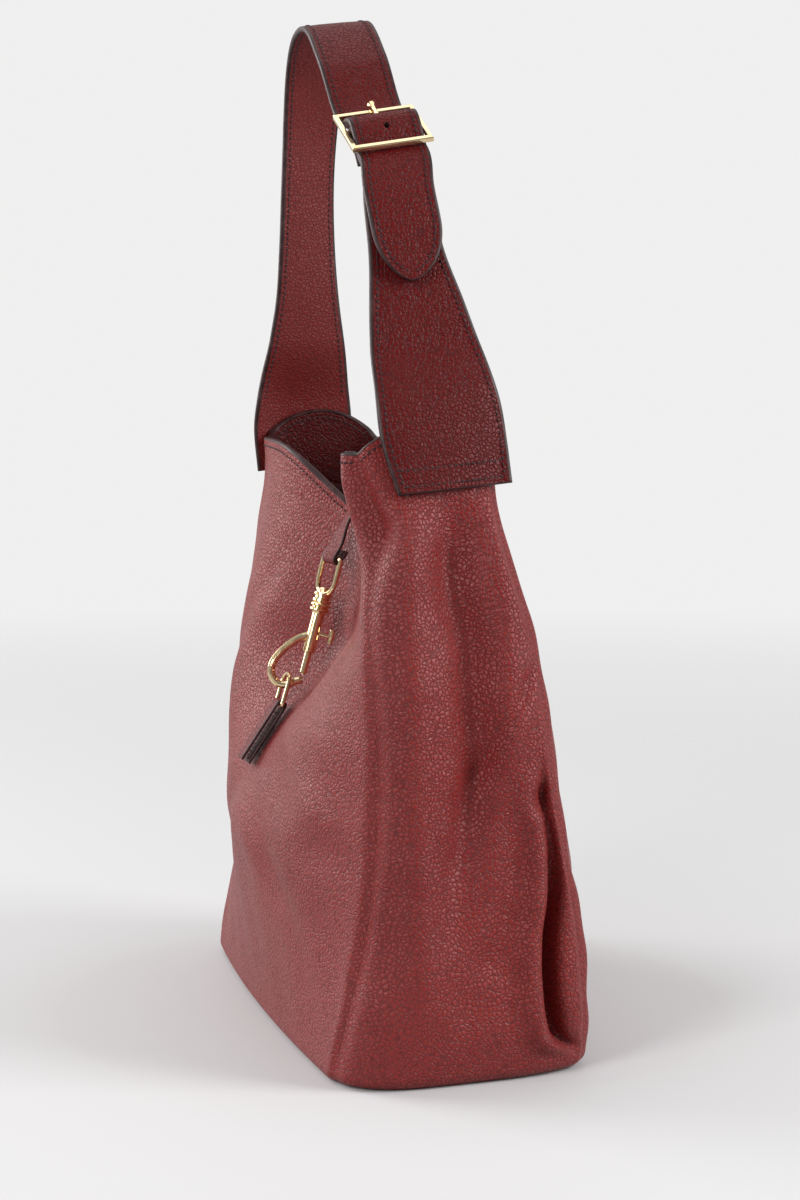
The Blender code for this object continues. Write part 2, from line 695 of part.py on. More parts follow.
def clasp_matrix(turn):
    """The clasp's frame at its eye bar: z up along the body, -y the way that the claw opens out."""
    tilt = Matrix.Rotation(-CLASP_TILT, 4, "X")
    return Matrix.Translation(EYE_BAR) @ tilt @ Matrix.Rotation(turn, 4, "Z")


def make_closure():
    radius = EYE_WIRE + GAP + CLOSURE_PLY / 2
    fold = turn_round_bar(EYE_BAR, CLOSURE_SLOPE, radius)
    before_fold = fold[0] - 0.006 * CLOSURE_SLOPE
    route = [*CLOSURE_ROUTE, before_fold.yz, fold[0].yz]
    path = curve_points(route, 22)[:-1] + fold
    path += [fold[-1] - CLOSURE_SLOPE * CLOSURE_TAIL * share for share in (0.5, 1.0)]
    strip = folded_strip(path, CLOSURE_WIDTH, CLOSURE_PLY)
    axis = clasp_matrix(0.0).to_3x3() @ Vector((0, 0, 1))
    for vert in strip.verts:
        share = smoothstep(0.290, 0.274, vert.co.z) * (vert.co.y < 0)
        vert.co = EYE_BAR + Matrix.Rotation(EYE_TURN * share, 3, axis) @ (vert.co - EYE_BAR)
    finish("closure_strap", strip, "strap_leather")


def make_eye(eye_pivot):
    matrix = clasp_matrix(EYE_TURN)
    loop = rounded_loop(EYE_WIDTH, EYE_LENGTH, 0.0022, 0.0085, EYE_WIRE)
    eye = finish("swivel_eye", place(loop, matrix), "gold", eye_pivot)
    bottom = GAP - SWIVEL_DROP
    top = bottom + 0.0062
    rim = COLLAR_RADIUS - 0.0006
    neck = COLLAR_RADIUS - 0.0016
    profile = [
        (0, top), (rim - 0.0006, top), (rim, top - 0.0006), (rim, top - 0.0017),
        (neck, top - 0.0023), (neck, bottom + 0.0026), (rim, bottom + 0.0020),
        (rim, bottom + 0.0006), (rim - 0.0006, bottom), (0, bottom),
    ]
    to_local = eye.matrix_world.inverted()
    boolean(eye, place(turned(profile, 24), to_local @ matrix), "boss", "UNION")
    hole = [(0, top + 0.0080), (0.0019, top + 0.0080), (0.0019, bottom - 0.0080), (0, bottom - 0.0080)]
    boolean(eye, place(turned(hole, 16), to_local @ matrix), "swivel_hole")


def make_hook(hook_pivot):
    matrix = clasp_matrix(CLASP_TURN) @ Matrix.Translation((0, 0, -SWIVEL_DROP))
    head = 0.0076
    stem_top = head + 0.0016
    rim = COLLAR_RADIUS
    neck = COLLAR_RADIUS - 0.0012
    profile = [
        (0, stem_top), (0.0022, stem_top), (0.0027, stem_top - 0.0005), (0.0027, stem_top - 0.0012),
        (0.0023, head), (0.0016, head), (0.0016, 0), (rim - 0.0006, 0), (rim, -0.0006), (rim, -0.0016),
        (neck, -0.0023), (neck, -0.0028), (rim, -0.0034), (rim, -0.0044), (rim - 0.0008, -0.0050),
        (BODY_RADIUS + 0.0006, -0.0054), (BODY_RADIUS, -0.0064),
        (BODY_RADIUS, 0.0005 - BODY_END), (BODY_RADIUS - 0.0005, -BODY_END), (0, -BODY_END),
    ]
    hook = finish("hook_body", place(turned(profile, 24), matrix), "gold", hook_pivot)
    to_local = hook.matrix_world.inverted()
    claw = curve_points([(-out, -down) for out, down in CLAW], 26)
    radii = [CLAW_RADIUS] * (len(claw) - 1) + [CLAW_RADIUS - 0.0004]
    claw_rings = tube_rings(claw, radii, Vector((1, 0, 0)), 14)
    boolean(hook, place(rings_to_mesh(claw_rings), to_local @ matrix), "claw", "UNION")
    bore_end = 0.0020 - BOLT_END
    bore = [(0, -BORE_START), (BORE_RADIUS, -BORE_START), (BORE_RADIUS, bore_end), (0, bore_end)]
    boolean(hook, place(turned(bore, 16), to_local @ matrix), "bolt_bore")
    slot_top = BOLT_TRAVEL - KNOB_PLACE + 0.0016
    slot = box_bm((-0.0015, 0.0, -KNOB_PLACE - 0.0020), (0.0015, 0.0080, slot_top))
    boolean(hook, place(slot, to_local @ matrix), "knob_slot")
    return matrix


def make_bolt(matrix, bolt_pivot):
    profile = [
        (0, -BOLT_START), (BOLT_RADIUS - 0.0003, -BOLT_START), (BOLT_RADIUS, -BOLT_START - 0.0003),
        (BOLT_RADIUS, 0.0010 - BOLT_END), (BOLT_RADIUS - 0.0008, -BOLT_END), (0, -BOLT_END),
    ]
    finish("hook_bolt", place(turned(profile, 20), matrix), "gold", bolt_pivot)

    stem_start = BOLT_RADIUS + GAP
    profile = [
        (0, stem_start), (0.0011, stem_start), (0.0011, 0.0088),
        (0.0016, 0.0094), (0.0016, 0.0110), (0, 0.0110),
    ]
    lay = Matrix.Translation((0, 0, -KNOB_PLACE)) @ Matrix.Rotation(math.radians(-90), 4, "X")
    knob = finish("thumb_knob", place(turned(profile, 16), matrix @ lay), "gold", bolt_pivot)
    lengths = (-0.0044, -0.0041, -0.0036, 0.0036, 0.0041, 0.0044)
    cap = [Vector((0, 0.0107, length - KNOB_PLACE)) for length in lengths]
    rings = tube_rings(cap, [0.0008, 0.0014, 0.0017, 0.0017, 0.0014, 0.0008], Vector((1, 0, 0)), 16)
    boolean(knob, place(rings_to_mesh(rings), knob.matrix_world.inverted() @ matrix), "cap", "UNION")


def make_spring(matrix):
    turns, per_turn, sides = 5, 10, 5
    radius, wire = 0.0017, 0.0003
    axis = Vector((0, 0, 1))
    top, bottom = -BORE_START - 2 * GAP, -BOLT_START + 2 * GAP
    rings = []
    for k in range(turns * per_turn + 1):
        a = 2 * math.pi * k / per_turn
        z = top + (bottom - top) * k / (turns * per_turn)
        spot = Vector((radius * math.cos(a), radius * math.sin(a), z))
        out = Vector((math.cos(a), math.sin(a), 0))
        angles = [2 * math.pi * j / sides for j in range(sides)]
        rings.append([spot + wire * (math.cos(b) * out + math.sin(b) * axis) for b in angles])
    return finish("bolt_spring", place(rings_to_mesh(rings), matrix), "steel")


def make_ring(ring_pivot):
    tilt = Matrix.Rotation(math.atan2(RING_UP.y, -RING_UP.z), 4, "X")
    ring = rounded_loop(RING_WIDTH, RING_LENGTH, 0.0018, 0.0070, RING_WIRE)
    finish("tab_ring", place(ring, Matrix.Translation(RING_BAR) @ tilt), "gold", ring_pivot)

    up_slope = (RING_BAR - RING_TAB_END).normalized()
    radius = RING_WIRE + GAP + CLOSURE_PLY / 2
    fold = turn_round_bar(RING_BAR, up_slope, radius)
    length = (RING_BAR - RING_TAB_END).length
    inner_end = fold[-1] - up_slope * length
    outer_end = fold[0] - up_slope * length
    path = [outer_end, outer_end.lerp(fold[0], 0.5)] + fold + [inner_end.lerp(fold[-1], 0.5), inner_end]
    finish("ring_tab", folded_strip(path, CLOSURE_WIDTH, CLOSURE_PLY), "strap_leather")


# ---------------------------------------------------------------- the bag

def main():
    for old in list(bpy.data.objects):
        bpy.data.objects.remove(old)
    make_body()
    handle = pivot("handle_axis", (0.0, -0.0150, TAB_TOP))
    make_strap(handle)
    prong_axis = pivot("prong_axis", BUCKLE_CENTRE)
    prong_axis.parent = handle
    prong_axis.matrix_parent_inverse = handle.matrix_world.inverted()
    bpy.context.view_layer.update()
    make_buckle(handle, prong_axis)

    make_closure()
    eye_axis = pivot("eye_axis", EYE_BAR)
    make_eye(eye_axis)
    matrix = make_hook(eye_axis)
    make_bolt(matrix, eye_axis)
    make_spring(matrix)
    make_ring(pivot("ring_axis", RING_BAR))


main()
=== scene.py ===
"""The looks of the leather hobo bag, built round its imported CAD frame.

Metres, +Z up, in the frame of the CAD: the front with the clasp faces -Y, and the buckled end of the
strap is at +X.
"""

import math

import bmesh
import bpy
import numpy as np
from mathutils import Matrix, Vector


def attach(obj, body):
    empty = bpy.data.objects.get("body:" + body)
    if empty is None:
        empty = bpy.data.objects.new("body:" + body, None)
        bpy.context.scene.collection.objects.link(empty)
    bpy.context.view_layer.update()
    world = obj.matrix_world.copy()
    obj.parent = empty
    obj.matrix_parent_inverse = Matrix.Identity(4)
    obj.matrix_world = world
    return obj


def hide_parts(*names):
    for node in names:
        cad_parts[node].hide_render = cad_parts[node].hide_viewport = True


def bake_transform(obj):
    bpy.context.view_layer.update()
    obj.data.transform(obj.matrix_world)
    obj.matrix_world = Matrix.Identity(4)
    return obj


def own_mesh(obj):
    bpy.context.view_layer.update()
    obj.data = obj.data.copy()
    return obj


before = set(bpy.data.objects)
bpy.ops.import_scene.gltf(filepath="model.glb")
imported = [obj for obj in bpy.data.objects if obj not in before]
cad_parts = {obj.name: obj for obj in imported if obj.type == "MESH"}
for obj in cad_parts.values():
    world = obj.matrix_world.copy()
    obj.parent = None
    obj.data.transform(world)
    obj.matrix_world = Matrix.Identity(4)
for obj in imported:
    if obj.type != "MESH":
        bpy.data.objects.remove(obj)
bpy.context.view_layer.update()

# ---------- sizes, as in the CAD

GAP = 0.0003
LEATHER = 0.0022
FACING_DEPTH = 0.0026
FACING = 0.0011
LINING = 0.0009
BOTTOM_RADIUS = 0.007
SEAM_HEIGHT = 0.334
FRONT_DIP = 0.0405
DIP_WIDTH = 0.33
BACK_DIP = 0.038
GUSSET_RISE = 0.017
BOARD_TOP = 0.0043
STRAP_THICKNESS = 0.0033
PLY = 0.0015
TAB_TOP = 0.353
NECK_TOP = 0.396
TAB_BOTTOM = 0.3155
TAB_GAP = 0.0013
TAB_TILT = math.radians(5.0)
BUCKLE_CENTRE = Vector((0.0725, -0.0230, 0.5110))
BUCKLE_SLOPE = math.radians(32.0)
BUCKLE_LEAN = math.radians(9.0)
CENTRE_BAR_RADIUS = 0.0015
FLAP_WIDTH = 0.0394
SHORT_END_WIDTH = 0.038
FLAP_POINT = 0.032
CLOSURE_WIDTH = 0.0125
CLOSURE_PLY = 0.0018
EYE_BAR = Vector((0.0, -0.0350, 0.2682))
CLASP_TILT = math.radians(15.0)
EYE_TURN = math.radians(20.0)
EYE_WIRE = 0.0015
RING_WIRE = 0.00125
RING_BAR = Vector((0.0, -0.0675, 0.1828))
RING_TAB_END = Vector((0.0, -0.0890, 0.1507))
CLOSURE_ROUTE = (
    (0.0232, 0.2560), (0.0232, 0.2700), (0.0195, 0.2860),
    (0.0080, 0.2975), (-0.0080, 0.3000), (-0.0195, 0.2978),
)
CLOSURE_SLOPE = Vector((0, -0.572, -0.820))
CLOSURE_TAIL = 0.0070
HOLLOW_WIDTH = 0.34
DENT_PLACE = 0.58
DENT_WIDTH = 0.38
GUSSET_LEAN = 0.40

# z, half width, front and back seams, front bulge, hollow and dent, back bulge and hollow, gusset bulge
SECTIONS = np.array([
    [0.00, 0.160, 0.0755, 0.0690, 0.0055, 0.0000, 0.0000, 0.015, 0.0000, 0.019],
    [0.03, 0.163, 0.0690, 0.0685, 0.0130, 0.0000, 0.0000, 0.022, 0.0000, 0.018],
    [0.08, 0.164, 0.0575, 0.0635, 0.0310, 0.0000, 0.0000, 0.028, 0.0000, 0.010],
    [0.12, 0.163, 0.0520, 0.0565, 0.0415, 0.0000, 0.0020, 0.030, 0.0000, 0.007],
    [0.15, 0.161, 0.0495, 0.0510, 0.0455, 0.0110, 0.0100, 0.031, 0.0000, 0.006],
    [0.18, 0.159, 0.0490, 0.0480, 0.0475, 0.0345, 0.0123, 0.030, 0.0055, 0.006],
    [0.21, 0.156, 0.0500, 0.0447, 0.0400, 0.0570, 0.0250, 0.026, 0.0097, 0.006],
    [0.24, 0.151, 0.0515, 0.0400, 0.0285, 0.0505, 0.0480, 0.019, 0.0110, 0.006],
    [0.28, 0.142, 0.0500, 0.0295, 0.0150, 0.0425, 0.0370, 0.012, 0.0115, 0.007],
    [0.31, 0.134, 0.0480, 0.0245, 0.0080, 0.0385, 0.0134, 0.008, 0.0115, 0.007],
    [0.36, 0.126, 0.0520, 0.0300, 0.0050, 0.0390, 0.0040, 0.004, 0.0180, 0.008],
])

# Strap routes: x, y, z, width, lean and twist in degrees
RIGHT_LEG = np.array([
    [0.1365, 0.0005, 0.312, 0.0655, 5.0, 0.0],
    [0.1300, -0.0060, 0.347, 0.0710, 6.0, 0.0],
    [0.1210, -0.0100, 0.379, 0.0645, 7.0, 0.0],
    [0.1130, -0.0143, 0.411, 0.0540, 8.0, 0.0],
    [0.1050, -0.0185, 0.443, 0.0420, 8.5, 0.0],
    [0.0985, -0.0205, 0.468, 0.0395, 9.0, 0.0],
])
LEFT_LEG = np.array([
    [-0.1365, -0.0205, 0.312, 0.0620, 3.0, 0.0],
    [-0.1310, -0.0230, 0.347, 0.0640, 3.0, 2.0],
    [-0.1250, -0.0230, 0.373, 0.0570, 3.0, 5.0],
    [-0.1150, -0.0240, 0.420, 0.0430, 3.0, 12.0],
    [-0.1085, -0.0255, 0.455, 0.0400, 3.0, 20.0],
    [-0.1020, -0.0265, 0.487, 0.0400, 3.0, 25.0],
])
ARCH = np.array([
    [-0.0900, -0.0268, 0.5280, 0.0400, 4.0, 22.0],
    [-0.0700, -0.0280, 0.5560, 0.0400, 5.0, 14.0],
    [-0.0390, -0.0300, 0.5735, 0.0400, 6.0, 5.0],
    [-0.0040, -0.0305, 0.5745, 0.0400, 7.0, 0.0],
    [0.0260, -0.0290, 0.5530, 0.0400, 8.5, 0.0],
])
# The long strap through the buckle, and the short strap up to its bar: along the buckle and out of it
BUCKLE_WEAVE = (
    (0.0215, -0.0050), (0.0168, -0.0045), (0.0095, 0.0020), (0.0000, 0.0067),
    (-0.0095, 0.0020), (-0.0168, -0.0045), (-0.0215, -0.0050),
)
BUCKLE_APPROACH = ((-0.0215, -0.0092), (-0.0150, -0.0078), (-0.0080, -0.0020))
FLAP = np.array([
    [0.1000, -0.0214, 0.4780, FLAP_WIDTH, 9.0, 0.0],
    [0.1085, -0.0190, 0.4550, FLAP_WIDTH, 9.0, 0.0],
    [0.1155, -0.0172, 0.4265, FLAP_WIDTH, 9.0, 0.0],
])

# Looks
STITCH_INSET = 0.0043
STITCH_PITCH = 0.0034
STITCH_LENGTH = 0.0027
THREAD_RADIUS = 0.00055
STITCH_SLANT = 0.10
CLOSURE_STITCH_INSET = 0.0022
TAB_STITCH_ROWS = (0.0040, 0.0130)
UNDER_STITCH_START = 0.045
SEAM_DIP = 0.0019
SEAM_WIDTH = 0.0034
SEAM_PUFF = 0.0010
NEAR_BELLY = 0.00572
WALL_EDGE = 0.9997
RIM_EDGE = 0.999
RIM_CROWN = 0.0014
RIM_SINK = 0.0004
RIM_FOOT = 0.0016
RIM_STAND = 0.0002
FACING_SHARES = (0.872, 0.997)
LINING_SHARES = (0.0, 0.868)
SHARP_ANGLE = math.radians(60)
METAL_SHARP_ANGLE = math.radians(38)
GRAIN = 400.0
SIDES = ("front", "back", "right", "left")

# Punched holes of the long strap: along the buckle and out of it, radius, half depth
HOLES = ((-0.0072, 0.0040, 0.0016, 0.0045), (0.0125, 0.0, 0.0019, 0.006))


# ---------- materials

def srgb(red, green, blue):
    """A linear colour from sRGB values out of 255."""
    values = [v / 255 for v in (red, green, blue)]
    return tuple(v / 12.92 if v <= 0.04045 else ((v + 0.055) / 1.055) ** 2.4 for v in values) + (1.0,)


class Nodes:
    """A short way to add linked shader nodes to a new material, or to a world."""

    def __init__(self, name, world=None):
        self.material = world or bpy.data.materials.new(name)
        self.material.use_nodes = True
        self.tree = self.material.node_tree
        self.shader = self.tree.nodes["Background" if world else "Principled BSDF"]
        self.place = self.add("ShaderNodeTexCoord").outputs["Object"]

    def add(self, kind, settings=None, **inputs):
        node = self.tree.nodes.new(kind)
        for key, value in (settings or {}).items():
            setattr(node, key, value)
        for key, value in inputs.items():
            socket = node.inputs[int(key[1:])] if key[0] == "i" and key[1:].isdigit() else node.inputs[key]
            self.put(socket, value)
        return node

    def put(self, socket, value):
        if isinstance(value, bpy.types.NodeSocket):
            self.tree.links.new(value, socket)
        else:
            socket.default_value = value

    def math(self, operation, a, b=0.0):
        return self.add("ShaderNodeMath", {"operation": operation}, i0=a, i1=b).outputs[0]

    def ramp(self, value, low, high, to_low=0.0, to_high=1.0):
        node = self.add("ShaderNodeMapRange", {"interpolation_type": "SMOOTHSTEP"})
        for socket, item in zip(node.inputs[:5], (value, low, high, to_low, to_high)):
            self.put(socket, item)
        return node.outputs[0]

    def noise(self, scale, detail=3.0):
        node = self.add("ShaderNodeTexNoise", Vector=self.place, Scale=scale, Detail=detail)
        return node.outputs["Fac"]

    def mix(self, share, a, b):
        node = self.add("ShaderNodeMix", {"data_type": "RGBA"})
        self.put(node.inputs[0], share)
        self.put(node.inputs[6], a)
        self.put(node.inputs[7], b)
        return node.outputs[2]

    def warped(self, scale, amount):
        """The place moved about by a soft noise."""
        noise = self.add("ShaderNodeTexNoise", Vector=self.place, Scale=scale, Detail=2.0).outputs["Color"]
        centred = self.add("ShaderNodeVectorMath", {"operation": "SUBTRACT"}, i0=noise, i1=(0.5, 0.5, 0.5))
        moved = self.add("ShaderNodeVectorMath", {"operation": "SCALE"}, i0=centred.outputs[0], Scale=amount)
        total = self.add("ShaderNodeVectorMath", {"operation": "ADD"}, i0=self.place, i1=moved.outputs[0])
        return total.outputs[0]

    def bump(self, height, strength, distance):
        node = self.add("ShaderNodeBump", Height=height, Strength=strength, Distance=distance)
        self.put(self.shader.inputs["Normal"], node.outputs[0])

    def set(self, **values):
        for key, value in values.items():
            self.put(self.shader.inputs[key.replace("_", " ")], value)


def leather(name, base, crease, worn, grain=GRAIN, depth=0.00042, roughness=0.38, gloss=0.42):
    """Pebbled leather: domed cells between narrow creases, finer wrinkles on them, soft changes of colour."""
    n = Nodes(name)
    place = n.warped(200.0, 0.0011)
    cells = n.add("ShaderNodeTexVoronoi", {"feature": "DISTANCE_TO_EDGE"}, Vector=place, Scale=grain)
    groove = n.ramp(cells.outputs["Distance"], 0.0, 0.16)
    dome = n.math("POWER", n.math("MULTIPLY", cells.outputs["Distance"], 1.6), 0.7)
    pebble = n.math("ADD", n.math("MULTIPLY", groove, 0.45), n.math("MULTIPLY", dome, 0.75))
    fine = n.add("ShaderNodeTexVoronoi", {"feature": "DISTANCE_TO_EDGE"}, Vector=place, Scale=grain * 2.6)
    wrinkle = n.ramp(fine.outputs["Distance"], 0.0, 0.25)
    patches = n.ramp(n.noise(20.0, 3.0), 0.35, 0.65, 0.70, 1.0)
    height = n.math("ADD", n.math("MULTIPLY", pebble, patches), n.math("MULTIPLY", wrinkle, 0.14))
    n.bump(height, 1.0, depth)
    tone = n.mix(n.ramp(n.noise(12.0, 4.0), 0.3, 0.7), base, worn)
    n.set(Base_Color=n.mix(groove, crease, tone))
    n.set(Roughness=n.ramp(groove, 0.0, 1.0, roughness + 0.20, roughness))
    n.set(Specular_IOR_Level=gloss)
    return n.material


def edge_paint(name, colour, worn):
    """Painted leather edges: a smooth thick paint with faint waves along it."""
    n = Nodes(name)
    tone = n.mix(n.ramp(n.noise(180.0, 3.0), 0.4, 0.7), colour, worn)
    n.bump(n.noise(420.0, 2.0), 0.25, 0.0003)
    n.set(Base_Color=tone, Roughness=n.ramp(n.noise(90.0), 0.3, 0.7, 0.38, 0.50), Specular_IOR_Level=0.35)
    return n.material


def thread(name, colour):
    n = Nodes(name)
    bands = {"wave_type": "BANDS", "bands_direction": "DIAGONAL"}
    wave = n.add("ShaderNodeTexWave", bands, Vector=n.place, Scale=900.0)
    n.bump(wave.outputs["Fac"], 0.6, 0.0001)
    shade = n.mix(wave.outputs["Fac"], colour, tuple(v * 1.6 for v in colour[:3]) + (1.0,))
    n.set(Base_Color=shade, Roughness=0.7)
    return n.material


def cloth(name, colour, light):
    """A fine woven lining."""
    n = Nodes(name)
    weave = []
    for direction in ("X", "Z"):
        bands = {"wave_type": "BANDS", "bands_direction": direction}
        wave = n.add("ShaderNodeTexWave", bands, Vector=n.place, Scale=380.0)
        weave.append(wave.outputs["Fac"])
    threads = n.math("MULTIPLY", weave[0], weave[1])
    n.bump(threads, 0.5, 0.0002)
    tone = n.mix(n.ramp(n.noise(20.0, 4.0), 0.3, 0.7), colour, light)
    n.set(Base_Color=n.mix(threads, tone, light), Roughness=0.85, Sheen_Weight=0.2)
    return n.material


def metal(name, colour, tarnish, roughness):
    """Plated metal with a faint uneven polish."""
    n = Nodes(name)
    tone = n.mix(n.ramp(n.noise(160.0, 4.0), 0.45, 0.75), colour, tarnish)
    n.bump(n.noise(900.0, 3.0), 0.04, 0.0001)
    rough = n.ramp(n.noise(260.0, 4.0), 0.3, 0.7, roughness, roughness + 0.07)
    n.set(Base_Color=tone, Metallic=1.0, Roughness=rough)
    return n.material


def board(name, colour, light):
    n = Nodes(name)
    n.bump(n.noise(700.0, 4.0), 0.4, 0.0003)
    n.set(Base_Color=n.mix(n.noise(300.0, 5.0), colour, light), Roughness=0.9)
    return n.material


BODY = leather("bag_leather", srgb(125, 26, 23), srgb(98, 18, 17), srgb(132, 33, 28))
STRAP = leather("strap_leather", srgb(90, 8, 9), srgb(70, 5, 6), srgb(96, 11, 11), 420.0, 0.00036, 0.35, 0.21)
UNDER = leather(
    "strap_under_leather", srgb(104, 26, 25), srgb(90, 20, 19), srgb(110, 30, 28), 430.0, 0.0003, 0.42, 0.28,
)
FACING_LEATHER = leather("facing_leather", srgb(70, 9, 10), srgb(54, 6, 7), srgb(76, 12, 12), gloss=0.20)
PAINT = edge_paint("edge_paint", srgb(44, 20, 21), srgb(62, 36, 36))
THREAD = thread("thread", srgb(40, 9, 13))
LINING_CLOTH = cloth("lining_cloth", srgb(74, 26, 28), srgb(88, 34, 35))
GOLD = metal("gold", srgb(240, 216, 172), srgb(232, 204, 156), 0.09)
STEEL = metal("steel", srgb(190, 190, 192), srgb(170, 170, 172), 0.25)
BOARD = board("board", srgb(110, 100, 84), srgb(128, 118, 100))


# ---------- curves and meshes

def rows_at(table, values, column=0):
    """The table's rows where a rising column has these values, on a smooth curve through its rows."""
    keys = table[:, column]
    slopes = np.gradient(table, keys, axis=0)
    values = np.clip(np.asarray(values, float), keys[0], keys[-1])
    after = np.clip(np.searchsorted(keys, values), 1, len(keys) - 1)
    before = after - 1
    span = (keys[after] - keys[before])[..., None]
    t = (values - keys[before])[..., None] / span
    return (
        (1 + 2 * t) * (1 - t) ** 2 * table[before]
        + t * (1 - t) ** 2 * span * slopes[before]
        + t * t * (3 - 2 * t) * table[after]
        - t * t * (1 - t) * span * slopes[after]
    )


def smoothstep(low, high, value):
    t = np.clip((value - low) / (high - low), 0.0, 1.0)
    return t * t * (3 - 2 * t)


def bell(value, centre, width):
    return np.exp(-(((value - centre) / width) ** 2))


def unit(vectors):
    return vectors / np.maximum(np.linalg.norm(vectors, axis=-1, keepdims=True), 1e-12)


def add_object(name, data):
    made = bpy.data.objects.new(name, data)
    bpy.context.scene.collection.objects.link(made)
    return made


def piece(name, points, faces, materials, slots=None):
    """A smooth-shaded mesh object from arrays, with a material index for each face."""
    mesh = bpy.data.meshes.new(name)
    mesh.from_pydata(np.asarray(points).tolist(), [], faces)
    for item in materials:
        mesh.materials.append(item)
    if slots is not None:
        mesh.polygons.foreach_set("material_index", slots)
    bm = bmesh.new()
    bm.from_mesh(mesh)
    bmesh.ops.recalc_face_normals(bm, faces=bm.faces)
    bm.to_mesh(mesh)
    bm.free()
    mesh.shade_smooth()
    mesh.set_sharp_from_angle(angle=SHARP_ANGLE)
    return add_object(name, mesh)


def slab(name, outer, inner, material):
    """A closed sheet between two equal grids of points."""
    columns, rows = outer.shape[:2]
    count = columns * rows
    points = np.concatenate([outer.reshape(-1, 3), inner.reshape(-1, 3)])
    index = np.arange(count).reshape(columns, rows)
    quads = np.stack([index[:-1, :-1], index[1:, :-1], index[1:, 1:], index[:-1, 1:]], -1).reshape(-1, 4)
    faces = quads.tolist() + (quads[:, ::-1] + count).tolist()
    for line in (index[0], index[-1], index[:, 0], index[:, -1]):
        faces += [[a, b, b + count, a + count] for a, b in zip(line[:-1].tolist(), line[1:].tolist())]
    return piece(name, points, faces, [material])


def ring_faces(count, sides):
    """Faces between equal rings of points, then a cap at each end."""
    faces = []
    for start in range(0, (count - 1) * sides, sides):
        for k in range(sides):
            n = (k + 1) % sides
            faces.append([start + k, start + n, start + sides + n, start + sides + k])
    return faces + [list(range(start, start + sides)) for start in (0, (count - 1) * sides)]


def tube(name, rings, materials, slots=None):
    """A closed mesh through equal rings, capped at both ends."""
    return piece(name, rings.reshape(-1, 3), ring_faces(*rings.shape[:2]), materials, slots)


# ---------- the bag's walls

def rim_height(side, u):
    """The height of a wall's rim, where u runs from -1 to 1 between the wall's seams."""
    if side == "front":
        return SEAM_HEIGHT - FRONT_DIP * bell(u, 0, DIP_WIDTH)
    return SEAM_HEIGHT + (1 - u * u) * (-BACK_DIP if side == "back" else GUSSET_RISE)


def gusset_puff(u):
    """How a gusset's bulge spreads between its front and back seams."""
    return (1 - u ** 4) * (1 - GUSSET_LEAN * u)


# The near front seam turns in behind a soft fold: z, how far in, how far the fold stands out
CORNER_FOLD = np.array([
    [0.240, 0.0000, 0.0000],
    [0.265, 0.0020, 0.0000],
    [0.280, 0.0055, 0.0010],
    [0.294, 0.0090, 0.0040],
    [0.306, 0.0050, 0.0075],
    [0.318, 0.0010, 0.0100],
    [0.334, -0.0035, 0.0085],
    [0.360, -0.0035, 0.0060],
])
# Where that fold lies across the front, and its width
FOLD_SHAPE = (0.925, 0.050)
# The deep fold at the back of the right gusset: z, where it lies, its depth
POCKET = np.array([
    [0.000, 0.0700, 0.0000],
    [0.012, 0.0590, 0.0040],
    [0.020, 0.0490, 0.0110],
    [0.032, 0.0445, 0.0160],
    [0.052, 0.0425, 0.0185],
    [0.075, 0.0430, 0.0175],
    [0.100, 0.0465, 0.0130],
    [0.125, 0.0460, 0.0075],
    [0.150, 0.0430, 0.0060],
    [0.175, 0.0420, 0.0000],
])
# The long hollow down the middle of the right gusset: z, where it lies
VALLEY = np.array([
    [0.040, -0.0120], [0.100, -0.0060], [0.130, -0.0015], [0.168, 0.0044],
    [0.206, 0.0032], [0.234, 0.0020], [0.260, -0.0036], [0.294, -0.0020], [0.330, 0.0000],
])


# Creases and rolls of each wall: how far out, from and to where along and up the wall, width, fading
DENTS = {
    "right": (
        (-0.0022, (0.044, 0.228), (0.004, 0.160), 0.0042, 0.010),
        (0.0018, (0.042, 0.214), (0.010, 0.150), 0.0060, 0.010),
        (-0.0026, (0.034, 0.134), (0.012, 0.060), 0.0075, 0.010),
        (-0.0020, (0.010, 0.070), (-0.008, 0.030), 0.0080, 0.010),
        (-0.0014, (0.024, 0.060), (0.018, 0.034), 0.0040, 0.010),
    ),
    "left": (
        (-0.0060, (0.046, 0.120), (0.040, 0.030), 0.0050, 0.010),
        (-0.0024, (-0.040, 0.220), (0.000, 0.150), 0.0050, 0.010),
        (-0.0022, (0.020, 0.110), (-0.015, 0.050), 0.0080, 0.010),
    ),
    "front": (
        (-0.0022, (0.010, 0.140), (0.105, 0.060), 0.0120, 0.03),
        (-0.0022, (-0.010, 0.140), (-0.110, 0.055), 0.0120, 0.03),
        (-0.0018, (-0.050, 0.270), (-0.120, 0.180), 0.0100, 0.03),
        (0.0016, (0.030, 0.180), (0.140, 0.130), 0.0090, 0.03),
    ),
    "back": (
        (-0.0030, (-0.100, 0.250), (-0.020, 0.120), 0.0130, 0.04),
        (-0.0030, (0.110, 0.240), (0.040, 0.110), 0.0130, 0.04),
        (-0.0022, (-0.140, 0.120), (-0.060, 0.040), 0.0100, 0.03),
        (-0.0022, (0.145, 0.110), (0.070, 0.040), 0.0100, 0.03),
    ),
}
# The seed and the size of each wall's faint waves
RIPPLES = {"right": (5, 0.00035), "left": (6, 0.00040), "front": (7, 0.00045), "back": (8, 0.00055)}


def line_dent(a, b, p, q, width, reach):
    """A dent of depth 1 along the line from a to b, faded at its ends. p and q are places on the wall."""
    ax, ay = a
    dx, dy = b[0] - ax, b[1] - ay
    length = math.hypot(dx, dy)
    along = ((p - ax) * dx + (q - ay) * dy) / length
    off = ((p - ax) * dy - (q - ay) * dx) / length
    faded = smoothstep(-reach, reach, along) * smoothstep(length + reach, length - reach, along)
    return bell(off, 0, width) * faded


